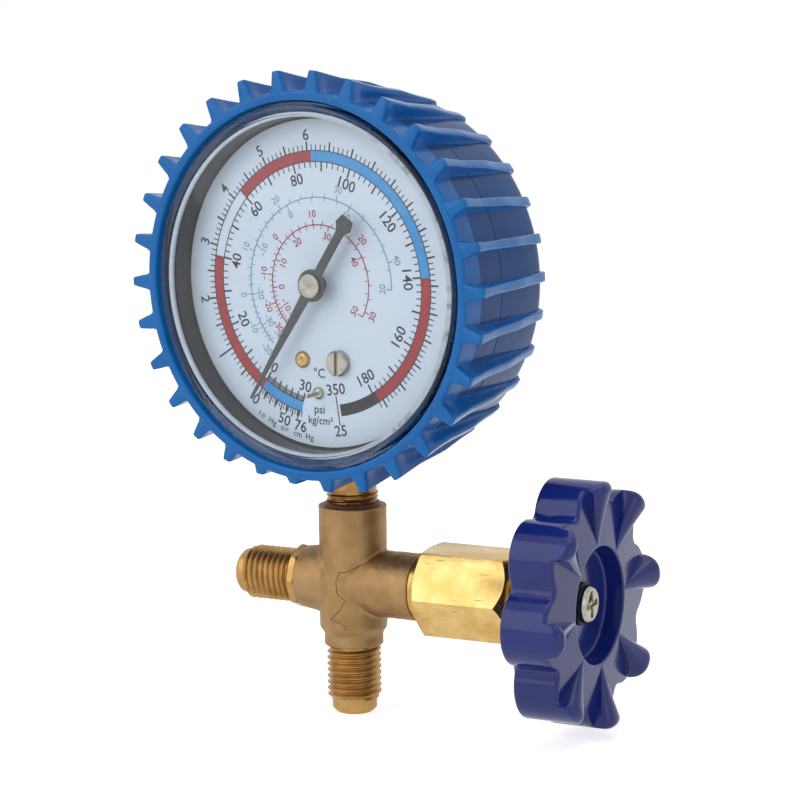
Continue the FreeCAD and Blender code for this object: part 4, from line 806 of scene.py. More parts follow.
@dataclass
class ValveBlock:
    """The forged cross between the gauge, the two ports and the bonnet, in millimetres."""

    column_radius: float = 6.95
    column_bottom: float = 14.9
    column_top: float = 40.1
    collar_radius: float = 6.05
    collar_bottom: float = 11.1
    collar_top: float = 13.6
    arm_radius: float = 6.85
    arm_end: float = 15.5
    neck_radius: float = 6.3
    neck_end: float = -10.95
    root_radius: float = 7.3
    root_start: float = -4.0
    root_taper: float = 1.5
    port_bore: float = 2.6
    socket_radius: float = 4.98
    socket_floor: float = 30.9
    seat_back: float = -2.3
    seat_hole: float = 1.6
    seat_face: float = -1.0
    chamber_radius: float = 4.4
    chamber_end: float = 6.0
    arm_bore: float = 5.3
    bore_steps: int = 64
    voxel: float = 0.27
    softening: int = 4
    swell: float = 0.07
    swell_pitch: float = 0.30
    dimple: float = 0.035
    dimple_pitch: float = 0.9
    skin_setback: float = 0.05
    machined_top: float = 0.7
    machined_arm: float = 0.8
    wrinkle: float = 0.12
    wrinkle_start: float = 6.0
    wrinkle_low: float = 28.5
    lower_end: float = -2.86
    side_end: float = -25.6
    stem_thread_start: float = 40.75
    fold_radius: float = 0.085
    fold_steps: int = 8
    fold_sides: int = 6
    fold_wander: float = 0.22
    # The forging fold on the front, as angle round the column and height
    fold: tuple[tuple[float, float], ...] = (
        (-38.0, 29.3), (-56.6, 28.4), (-70.0, 27.6), (-86.7, 27.1), (-93.0, 25.2), (-91.0, 22.8),
        (-77.0, 21.4), (-88.0, 19.2), (-104.0, 17.3), (-90.0, 16.9), (-77.4, 16.2), (-75.0, 15.1))

    def outer(self) -> bpy.types.Mesh:
        """Builds the cross with its bores as one smooth skin.

        Returns:
            The mesh, before its surface is made uneven.
        """
        column = lathe([
            (0, self.collar_bottom), (self.collar_radius, self.collar_bottom),
            (self.collar_radius, self.collar_top), (self.column_radius, self.column_bottom),
            (self.column_radius, self.column_top), (0, self.column_top)])
        arm = lathe([(0, 0), (self.arm_radius, 0), (self.arm_radius, self.arm_end),
                     (0, self.arm_end)])
        neck = lathe([(0, self.neck_end), (self.neck_radius, self.neck_end),
                      (self.root_radius, self.root_start),
                      (self.root_radius - self.root_taper, 0), (0, 0)])
        lying = Matrix(((0, 0, 1, 0), (1, 0, 0, 0), (0, 1, 0, AXIS_HEIGHT), (0, 0, 0, 1)))
        forms = [cut_by(mesh_of(column, "column"), self.bores(lying))]
        for bm in (arm, neck):
            mesh = mesh_of(bm, "form")
            mesh.transform(lying)
            forms.append(cut_by(mesh, self.bores(lying)))
        whole = merged(forms)

        def prepare(helper: bpy.types.Object) -> None:
            """Makes one skin and softens where the forms meet."""
            skin = helper.modifiers.new("skin", "REMESH")
            skin.mode = "VOXEL"
            skin.voxel_size = self.voxel
            soft = helper.modifiers.new("soft", "SMOOTH")
            soft.factor = 0.5
            soft.iterations = self.softening

        return evaluated(whole, prepare)

    def bores(self, lying: Matrix) -> list[bpy.types.Mesh]:
        """Builds what is cut out of every form.

        Args:
            lying: the matrix that lays a form along the valve's axis.

        Returns:
            The upright bore with the stem's socket, and the valve's bore with its seat.
        """
        # The tools reach past every end of the cross
        low, high, left, right = -5, 45, -40, 20
        stem_bore = lathe([
            (0, low), (self.port_bore, low), (self.port_bore, self.socket_floor),
            (self.socket_radius, self.socket_floor), (self.socket_radius, high), (0, high),
        ], self.bore_steps)
        valve_bore = lathe([
            (0, left), (self.port_bore, left), (self.port_bore, self.seat_back),
            (self.seat_hole, self.seat_back), (self.seat_hole, self.seat_face),
            (self.chamber_radius, self.seat_face), (self.chamber_radius, self.chamber_end),
            (self.arm_bore, self.chamber_end), (self.arm_bore, right), (0, right),
        ], self.bore_steps)
        tools = [mesh_of(stem_bore, "stem_bore"), mesh_of(valve_bore, "valve_bore")]
        tools[1].transform(lying)
        return tools

    def fold_line(self, skin: bpy.types.Mesh) -> bmesh.types.BMesh:
        """Builds the forging fold as a thin dark bead, half sunk in the skin.

        Args:
            skin: the cross's mesh, which the fold follows.

        Returns:
            The bead's mesh.
        """
        tree = bvhtree.BVHTree.FromPolygons([v.co for v in skin.vertices],
                                            [p.vertices for p in skin.polygons])
        path = []
        for (angle, height), (next_angle, next_height) in zip(self.fold, self.fold[1:]):
            for step in range(self.fold_steps):
                share = step / self.fold_steps
                x, y, _ = polar(self.column_radius + 2, angle + (next_angle - angle) * share)
                z = height + (next_height - height) * share
                wander = self.fold_wander * noise.noise(Vector((x * 1.7, z * 1.7, 5.0)))
                start = Vector((x, y - 3, z + wander))
                spot, _, _, _ = tree.ray_cast(start, Vector((-x * 0.6, 8 - y, 0)).normalized())
                if spot:
                    path.append(spot)
        bm = bmesh.new()
        rings = []
        sides = self.fold_sides
        for i, spot in enumerate(path):
            ahead = (path[min(i + 1, len(path) - 1)] - path[max(i - 1, 0)]).normalized()
            out = ahead.cross(Vector((0, -1, 0))).normalized()
            other = ahead.cross(out)
            thick = self.fold_radius * (0.6 + 0.8 * abs(noise.noise(spot * 1.3)))
            rings.append([bm.verts.new(spot + (out * math.cos(a) + other * math.sin(a)) * thick)
                          for a in (2 * math.pi * k / sides for k in range(sides))])
        for one, two in zip(rings, rings[1:]):
            bridge(bm, one, two)
        bm.faces.new(rings[0])
        bm.faces.new(rings[-1])
        bmesh.ops.recalc_face_normals(bm, faces=bm.faces)
        return bm

    def build(self, finishes: Finishes) -> None:
        """Builds the cross, its fold, both ports and the stem's thread, each in its place."""
        mesh = self.outer()
        normals = [vertex.normal.copy() for vertex in mesh.vertices]
        spots = [vertex.co.copy() for vertex in mesh.vertices]
        for vertex, normal, spot in zip(mesh.vertices, normals, spots):
            on_top = spot.z > self.column_top - self.machined_top
            if on_top or spot.x > self.arm_end - self.machined_arm:
                continue
            uneven = self.swell * noise.noise(spot * self.swell_pitch)
            uneven += self.dimple * noise.noise(spot * self.dimple_pitch)
            # The right arm is wrinkled on top
            on_arm = rise(spot.x, self.wrinkle_start, 3) * rise(spot.z, self.wrinkle_low, 1.5)
            wrinkle = self.wrinkle * on_arm * noise.noise(Vector((spot.x * 1.4, spot.y * 0.5, 3.1)))
            vertex.co = spot + normal * (uneven + wrinkle - self.skin_setback)
        fold = self.fold_line(mesh)
        put("valve_cross", mesh, CROSS, finishes.of(FORGED_BRASS), "fixed_valve",
            ("valve_body",), Sharpness.SOFT)
        put("forging_fold", mesh_of(fold, "fold"), CROSS, finishes.of(FOLD_SCALE), "fixed_valve",
            sharp=Sharpness.SOFT)
        Port("lower_port", upright(self.lower_end), nose_length=2.86,
             thread_length=11.3).build(finishes)
        Port("side_port", sideways(self.side_end), nose_length=2.2, thread_length=11.2,
             collar_length=1.5, collar_radius=6.56, collar_flats=12.1).build(finishes)
        stem = Port("stem_thread", upright(self.stem_thread_start), nose_length=0.0,
                    thread_length=2.7, crest=5.3, root=4.9, pitch=0.9, bore=4.6)
        put("stem_thread", mesh_of(stem.thread(), "thread"), stem.place, finishes.of(MILLED_BRASS),
            "fixed_valve")


# The handwheel
@dataclass
class Handwheel:
    """The lobed wheel, whose face and rim follow one rule, in millimetres."""

    back: float = 44.5
    first_lobe: float = 5.0
    lobes: int = 8
    radius: float = 25.0
    valley: float = 21.0
    rounding: float = 2.2
    depth: float = 10.2
    face_fall: float = 0.9
    wall: float = 2.6
    recess_radius: float = 11.63
    recess_floor_radius: float = 11.3
    recess_depth: float = 4.0
    web: float = 2.0
    hub_radius: float = 6.5
    hub_start: float = 1.5
    square: float = 5.1
    ramp_start: float = 12.2
    ramp_start_width: float = 0.7
    ramp_peak: float = 23.1
    ramp_peak_width: float = 6.4
    ramp_height: float = 13.1
    ramp_end_height: float = 12.5
    ridge_steps: int = 12
    web_steps: int = 13
    rib_thickness: float = 1.6
    rib_start: float = 1.8
    crown_power: float = 2.4
    foot_share: float = 0.06
    foot_width: float = 0.7
    recess_edge: float = 0.35
    rim_edge: float = 0.8
    ridge_edge: float = 0.9
    recess_fillet: float = 0.6
    low_edge: float = 0.7
    face_rows: int = 22
    side_rows: int = 12
    dent: float = 0.22
    dent_height: float = 3.4

    def rim(self, angle: float) -> float:
        """Gives the outline's radius at an angle from a lobe's middle, in radians."""
        half = math.pi / self.lobes
        hollow = self.valley + self.rounding
        along, across = hollow * math.cos(half), hollow * math.sin(half)
        lobe = (self.radius ** 2 + hollow ** 2 - 2 * self.radius * along - self.rounding ** 2) / (
            2 * (self.rounding + self.radius - along))
        centre = self.radius - lobe
        share = lobe / (lobe + self.rounding)
        meet = math.atan2(across * share, centre + (along - centre) * share)
        angle = abs(angle)
        if angle <= meet:
            return centre * math.cos(angle) + math.sqrt(lobe ** 2 - (centre * math.sin(angle)) ** 2)
        off = half - angle
        across = hollow * math.sin(off)
        return hollow * math.cos(off) - math.sqrt(max(0.0, self.rounding ** 2 - across ** 2))

    def ramp_width(self, radius: float) -> float:
        """Gives the ramp's width at a radius."""
        share = (radius - self.ramp_start) / (self.ramp_peak - self.ramp_start)
        grown = self.ramp_start_width + (self.ramp_peak_width - self.ramp_start_width) * share
        return max(self.ramp_start_width * radius / self.ramp_start, grown)

    def face(self, radius: float) -> float:
        """Gives the web face's height at a radius."""
        share = (radius - self.recess_radius) / (self.radius - self.recess_radius)
        return self.depth - self.face_fall * share

    def crown(self, radius: float) -> float:
        """Gives the height of a ramp's ridge at a radius."""
        if radius <= self.ramp_start:
            return self.face(radius)
        if radius <= self.ramp_peak:
            share = (radius - self.ramp_start) / (self.ramp_peak - self.ramp_start)
            return self.face(radius) + (self.ramp_height - self.face(radius)) * share
        share = (radius - self.ramp_peak) / (self.radius - self.ramp_peak)
        return self.ramp_height + (self.ramp_end_height - self.ramp_height) * share ** 2

    def columns(self) -> list[tuple[int, float]]:
        """Gives the steps round one lobe.

        Returns:
            For each step, 0 on the ramp or a side of -1 or 1 on the web, and its share of that.
        """
        steps: list[tuple[int, float]] = []
        for i in range(self.web_steps):
            steps.append((-1, 1 - i / self.web_steps))
        for i in range(2 * self.ridge_steps + 1):
            steps.append((0, math.sin(math.pi / 2 * (i / self.ridge_steps - 1))))
        for i in range(1, self.web_steps):
            steps.append((1, i / self.web_steps))
        return steps

    def angle_at(self, column: tuple[int, float], radius: float) -> float:
        """Gives a step's angle from the lobe's middle at a radius, in radians."""
        side, share = column
        edge = math.asin(min(0.9, self.ramp_width(radius) / 2 / radius))
        if side == 0:
            return math.asin(max(-0.9, min(0.9, share * self.ramp_width(radius) / 2 / radius)))
        return side * (edge + (math.pi / self.lobes - edge) * share)

    def height_at(self, column: tuple[int, float], radius: float, angle: float) -> float:
        """Gives the face's height at a step and radius.

        Args:
            column: the step round the lobe.
            radius: the radius.
            angle: the step's angle from the lobe's middle, in radians.

        Returns:
            The height above the wheel's back.
        """
        side, share = column
        rise = max(0.0, self.crown(radius) - self.face(radius))
        if side == 0:
            bulge = (1 - abs(share) ** self.crown_power) ** (1 / self.crown_power)
            return self.face(radius) + rise * (self.foot_share + (1 - self.foot_share) * bulge)
        beside = abs(radius * math.sin(angle)) - self.ramp_width(radius) / 2
        fillet = max(0.0, 1 - beside / self.foot_width) ** 2
        return self.face(radius) + rise * self.foot_share * fillet

    def rows_of(self, column: tuple[int, float]) -> list[tuple[float, float, float]]:
        """Walks once round the wheel's section at one step.

        Args:
            column: the step round the lobe.

        Returns:
            The radius, angle and height of each point, from the bore over the face to the back.
        """
        floor = self.depth - self.recess_depth
        hollow = floor - self.web
        reach = self.radius
        for _ in range(4):
            angle = self.angle_at(column, reach)
            reach = self.rim(angle)
        ridge = 1 - abs(column[1]) ** self.crown_power if column[0] == 0 else 0.0
        edge = self.rim_edge + self.ridge_edge * ridge
        wall = reach - self.wall
        side = self.square / 2
        turn = self.angle_at(column, self.recess_radius)
        bore = side / max(abs(math.cos(turn)), abs(math.sin(turn)))
        points: list[tuple[float, float, float]] = []

        def inside(radius: float, height: float, at: float = turn) -> None:
            """Adds a point at a given radius, height and angle."""
            points.append((radius, at, height))

        inside(bore, self.hub_start)
        inside(bore, floor)
        inside(self.recess_floor_radius - 4, floor)
        inside(self.recess_floor_radius - 0.9, floor)
        fillet = self.recess_fillet
        for sine, cosine in quarter(4):
            inside(self.recess_floor_radius - fillet + fillet * sine, floor + fillet - fillet * cosine)
        rim_edge = self.recess_edge
        top = self.face(self.recess_radius)
        inside(self.recess_radius, top - rim_edge)
        for sine, cosine in quarter(4):
            inside(self.recess_radius + rim_edge - rim_edge * cosine, top - rim_edge + rim_edge * sine)
        start = self.recess_radius + rim_edge
        face_end = reach - edge
        for step in range(1, self.face_rows + 1):
            radius = start + (face_end - start) * step / self.face_rows
            at = self.angle_at(column, radius)
            points.append((radius, at, self.height_at(column, radius, at)))
        at_rim = self.angle_at(column, face_end)
        crest = self.height_at(column, face_end, at_rim)
        for step, (sine, cosine) in enumerate(quarter(7), 1):
            points.append((face_end + edge * sine, at_rim + (angle - at_rim) * step / 7,
                           crest - edge + edge * cosine))
        low_edge = self.low_edge
        for step in range(1, self.side_rows):
            height = crest - edge + (low_edge - crest + edge) * step / self.side_rows
            in_valley = max(0.0, 1 - ((math.pi / self.lobes - abs(angle)) / 0.035) ** 2)
            dent = self.dent * in_valley * math.exp(-((height - self.dent_height) / 1.5) ** 2)
            points.append((reach - dent, angle, height))
        for sine, cosine in quarter(4, 0):
            points.append((reach - low_edge + low_edge * cosine, angle, low_edge - low_edge * sine))
        for radius, height in ((wall + 0.35, 0.0), (wall, 0.35), (wall, hollow - 0.6),
                               (wall - 0.2, hollow - 0.15), (wall - 0.7, hollow)):
            inside(radius, height, angle)
        for radius, height in ((self.hub_radius + 0.7, hollow), (self.hub_radius + 0.2, hollow - 0.15),
                               (self.hub_radius, hollow - 0.6), (self.hub_radius, self.hub_start + 0.3),
                               (self.hub_radius - 0.3, self.hub_start)):
            inside(radius, height)
        return points

    def build(self, finishes: Finishes) -> None:
        """Builds the wheel with the ribs in its hollow back and puts it in its place."""
        bm = bmesh.new()
        columns = []
        for lobe in range(self.lobes):
            base = math.radians(self.first_lobe) + 2 * math.pi * lobe / self.lobes
            for column in self.columns():
                ring = []
                for radius, angle, height in self.rows_of(column):
                    turn = base + angle
                    ring.append(bm.verts.new((radius * math.cos(turn), radius * math.sin(turn),
                                              self.back + height)))
                columns.append(ring)
        for i, ring in enumerate(columns):
            bridge(bm, ring, columns[(i + 1) % len(columns)])
        bmesh.ops.recalc_face_normals(bm, faces=bm.faces)
        wheel = mesh_of(bm, "wheel")
        hollow = self.depth - self.recess_depth - self.web
        half = self.rib_thickness / 2
        rib = slab([(self.hub_radius - 0.5, -half), (self.hub_radius - 0.5, half),
                    (self.radius - self.wall - 0.2, -half), (self.radius - self.wall - 0.2, half)],
                   self.back + self.rib_start, self.back + hollow + 0.3)
        bmesh.ops.recalc_face_normals(rib, faces=rib.faces)
        bmesh.ops.bevel(rib, geom=[*rib.edges], offset=0.2, segments=2, affect="EDGES")
        material = finishes.of(WHEEL_ABS)
        ribs = RingRepeat(self.lobes, self.first_lobe, 360 / self.lobes).apply(rib, material)
        put("wheel", merged([wheel, ribs]), VALVE_AXIS, material, "spindle",
            ("handwheel",))


# The boot
# The ribs' tips behind the front, as height above the dial and radius, in millimetres
RIB_TIP_LINE = ((6.0, 42.5), (-2.5, 40.75), (-12.0, 39.5), (-18.5, 38.0), (-24.5, 36.9),
                (-25.2, 36.0), (-25.9, 34.6))


@dataclass
class Boot:
    """The soft ribbed boot round the case, in millimetres."""

    front: float = 6.9
    lip_radius: float = 36.6
    front_radius: float = 38.5
    bevel_radius: float = 38.2
    bevel_depth: float = 1.2
    shoulder_radius: float = 37.0
    shoulder_depth: float = -18.9
    bend_radius: float = 36.4
    bend_depth: float = -24.0
    back_radius: float = 33.5
    back: float = -26.0
    opening_radius: float = 28.0
    inner_back: float = -24.12
    inner_radius: float = 34.42
    pocket_floor: float = -0.82
    parting: float = -7.0
    rib_count: int = 30
    rib_turn: float = 1.7
    rib_tip: float = 42.6
    rib_tip_half: float = 0.93
    rib_front_draft: float = 0.17
    rib_back_draft: float = 0.035
    rib_corner: float = 0.4
    rib_sunk: float = 0.8
    rib_least: float = 2.2
    surface_radius: float = 38.0
    surface_draft: float = 0.06
    tail_radius: float = 36.8
    tail_draft: float = 0.50
    groove: float = 0.22
    worn_angle: float = 262.0
    worn_spread: float = 22.0
    worn_share: float = 0.75
    slot_half_width: float = 10.2
    slot_half_depth: float = 7.0
    slot_steps: int = 48
    slot_ends: tuple[float, float] = (-20, -50)

    def barrel(self) -> bmesh.types.BMesh:
        """Builds the turned part of the boot."""
        return lathe(eased([
            (self.opening_radius, self.back, 0.5),
            (self.back_radius, self.back, 2.2),
            (self.bend_radius, self.bend_depth, 2.2),
            (self.shoulder_radius, self.shoulder_depth, 2.5),
            (37.75, self.parting - self.groove, 0.1),
            (37.62, self.parting, 0.1),
            (37.79, self.parting + self.groove, 0.1),
            (self.bevel_radius, self.bevel_depth, 0.8),
            (self.front_radius, self.front, 0.7),
            (self.lip_radius, self.front, 0.5),
            (self.lip_radius, self.pocket_floor, 0),
            (self.inner_radius, self.pocket_floor, 0.2),
            (self.inner_radius, self.inner_back, 2.2),
            (self.opening_radius, self.inner_back, 0.4),
        ], 6), 300)

    def rib(self) -> bmesh.types.BMesh:
        """Builds one tapered rib at angle 0.

        Returns:
            The mesh, closed, with its foot inside the barrel.
        """
        face = self.front - 0.1
        stations = [(face, 0.34), (face - 0.05, 0.20), (face - 0.14, 0.08), (face - 0.34, 0.0)]
        stations += [(self.front - 1.0 - i * 0.7, 0.0) for i in range(5)]
        stations += [(self.front - 5.5 - i * 1.9, 0.0) for i in range(14)]
        stations += [(-24.6, 0.0), (-25.2, 0.05), (-25.6, 0.15), (-25.85, 0.35)]
        bm = bmesh.new()
        rows = []
        for depth, inset in stations:
            tip = self.tip_at(depth) - inset
            if depth > self.shoulder_depth:
                barrel = self.surface_radius - (self.bevel_depth - depth) * self.surface_draft
            else:
                barrel = self.tail_radius - (self.shoulder_depth - depth) * self.tail_draft
            foot = min(tip - self.rib_least, barrel - self.rib_sunk)
            rows.append([bm.verts.new((r, side, depth)) for r, side in
                         self.section(tip, foot, inset, depth)])
        for one, two in zip(rows, rows[1:]):
            bridge(bm, one, two)
        bm.faces.new(rows[0][::-1])
        bm.faces.new(rows[-1])
        bmesh.ops.recalc_face_normals(bm, faces=bm.faces)
        return bm

    def on_barrel(self, spot: Vector) -> bool:
        """Tells whether a face's middle is on the barrel, behind the front ring, where the PVC gets
        painted shade.
        """
        return spot.z < self.bevel_depth - 0.3

    def tip_at(self, depth: float) -> float:
        """Gives the radius of a rib's tip at a depth."""
        line = ((self.front, self.rib_tip), *RIB_TIP_LINE)
        for (near, high), (far, low) in zip(line, line[1:]):
            if depth >= far:
                return high + (low - high) * (near - depth) / (near - far)
        return line[-1][1]

    def section(self, tip: float, foot: float, inset: float,
                depth: float) -> list[tuple[float, float]]:
        """Gives a rib's outline across it.

        Args:
            tip: the tip's radius.
            foot: the radius where it ends inside the barrel.
            inset: how far the sides are set in at the ends' rounding.
            depth: where the section is.

        Returns:
            Radius and side pairs round the section.
        """
        behind = rise(self.front - 1.0 - depth, 0, 4.0)
        behind = behind * behind * (3 - 2 * behind)
        draft = self.rib_front_draft + (self.rib_back_draft - self.rib_front_draft) * behind

        def half(radius: float) -> float:
            """Gives half the rib's width at a radius."""
            return self.rib_tip_half - 0.1 * behind + (self.rib_tip - radius) * draft - inset

        corner = min(self.rib_corner, half(tip) * 0.8)
        edge = [(tip - corner + corner * sine, half(tip) - corner + corner * cosine)
                for sine, cosine in quarter(4, 0)]
        surface = foot + 1.0
        above, middle = surface + 0.45, (surface + tip) / 2
        right = [(foot, half(foot) + 0.45), (surface, half(surface) + 0.18), (above, half(above)),
                 (middle, half(middle)), *edge]
        left = [(radius, -side) for radius, side in reversed(right)]
        return right + left

    def build(self, finishes: Finishes) -> None:
        """Builds the barrel and the ribs, cuts the stem's slot and puts them in their place."""
        material = finishes.of(BOOT_PVC)
        ribs = RingRepeat(self.rib_count, self.rib_turn, 360 / self.rib_count).apply(
            self.rib(), material)
        # The ribs that the gauge stands on when it is put down are worn low
        for vertex in ribs.vertices:
            radius = math.hypot(vertex.co.x, vertex.co.y)
            turn = math.degrees(math.atan2(vertex.co.y, vertex.co.x)) % 360
            base = self.bevel_radius + 0.2
            if radius > base:
                worn = self.worn_share * math.exp(-((turn - self.worn_angle) / self.worn_spread) ** 2)
                scale = (base + (radius - base) * (1 - worn)) / radius
                vertex.co.x *= scale
                vertex.co.y *= scale
        for mesh, name in ((mesh_of(self.barrel(), "barrel"), "boot_barrel"), (ribs, "boot_ribs")):
            cut = cut_by(mesh, [mesh_of(self.stem_slot(), "slot")])
            # The barrel's faces get the darker copy of the PVC: painted shade
            barrel = (finishes.of(BARREL_PVC_PAINTED_SHADE), self.on_barrel) if name == "boot_barrel" else None
            put(name, cut, GAUGE, material, "fixed_valve", ("rubber_boot",),
                Sharpness.SOFT if name == "boot_ribs" else Sharpness.NORMAL, barrel)

    def stem_slot(self) -> bmesh.types.BMesh:
        """Builds the long round-ended hole that the stem goes through, below the gauge."""
        straight = self.slot_half_width - self.slot_half_depth
        outline = []
        for i in range(self.slot_steps):
            angle = 2 * math.pi * i / self.slot_steps
            shift = straight if math.cos(angle) > 0 else -straight
            outline.append((shift + self.slot_half_depth * math.cos(angle),
                            self.slot_half_depth * math.sin(angle) - STEM_BEHIND_DIAL))
        tool = bmesh.new()
        ends = [[tool.verts.new((x, y, z)) for x, z in outline] for y in self.slot_ends]
        bridge(tool, *ends)
        tool.faces.new(ends[0])
        tool.faces.new(ends[1])
        bmesh.ops.recalc_face_normals(tool, faces=tool.faces)
        return tool


# The gauge's front
@dataclass
class GaugeFront:
    """The window and the case behind it, in millimetres."""

    inside: float = 4.9
    front: float = 6.5
    radius: float = 36.3
    rim_outer: float = 35.4
    rim_inner: float = 33.85
    step: float = 0.3
    skirt: float = 34.42
    skirt_end: float = -0.7
    case_radius: float = 34.3
    case_inner: float = 33.4
    case_front: float = 4.4
    case_back: float = -24.0
    case_floor: float = -23.1
    stem_hole: float = 5.07
    screw_hole: float = 1.6
    screw_offset: float = 8.5

    def inside_case(self, spot: Vector) -> bool:
        """Tells whether a face's middle is on the inside of the case, where the steel gets painted
        shade.
        """
        within = math.hypot(spot.x, spot.y) < self.case_inner + 0.05
        return within and spot.z > self.case_floor - 0.4

    def build(self, finishes: Finishes) -> None:
        """Builds the window and the polished case and puts them in their place."""
        window = lathe(eased([
            (0, self.inside, 0),
            (self.skirt, self.inside, 0.12),
            (self.skirt, self.skirt_end, 0.1),
            (self.radius, self.skirt_end, 0.15),
            (self.radius, self.front - self.radius + self.rim_outer, 0.2),
            (self.rim_outer, self.front, 0.3),
            (self.rim_inner, self.front, 0.25),
            (self.rim_inner - 0.1, self.front - self.step, 0.15),
            (0, self.front - self.step, 0),
        ], 4), 256)
        put("window", mesh_of(window, "window"), GAUGE, finishes.of(WINDOW), "fixed_valve",
            ("lens",))
        case = lathe(eased([
            (0, self.case_back, 0), (self.case_radius, self.case_back, 2.5),
            (self.case_radius, self.case_front, 0.2), (self.case_inner, self.case_front, 0.2),
            (self.case_inner, self.case_floor, 1.6), (0, self.case_floor, 0)], 6), 256)
        holes = []
        for x, radius in ((0.0, self.stem_hole), (self.screw_offset, self.screw_hole),
                          (-self.screw_offset, self.screw_hole)):
            tool = lathe([(0, 25), (radius, 25), (radius, 45), (0, 45)], 48)
            mesh = mesh_of(tool, "hole")
            mesh.transform(Matrix(((1, 0, 0, x), (0, 0, -1, 0), (0, 1, 0, -STEM_BEHIND_DIAL),
                                   (0, 0, 0, 1))))
            holes.append(mesh)
        # The inside of the case gets the darker copy of the steel: painted shade and dark reflection
        put("case", cut_by(mesh_of(case, "case"), holes), GAUGE, finishes.of(CASE_STEEL),
            "fixed_valve", ("gauge_case",),
            second=(finishes.of(CASE_INSIDE_PAINTED_SHADE), self.inside_case))


# The printed dial
class Ink(Enum):
    """The dial's inks."""

    BLACK = "black"
    RED = "red"
    BLUE = "blue"
    SKY = "sky"


INK_FINISH = {Ink.BLACK: BLACK_INK, Ink.RED: RED_INK, Ink.BLUE: BLUE_INK, Ink.SKY: SKY_INK}


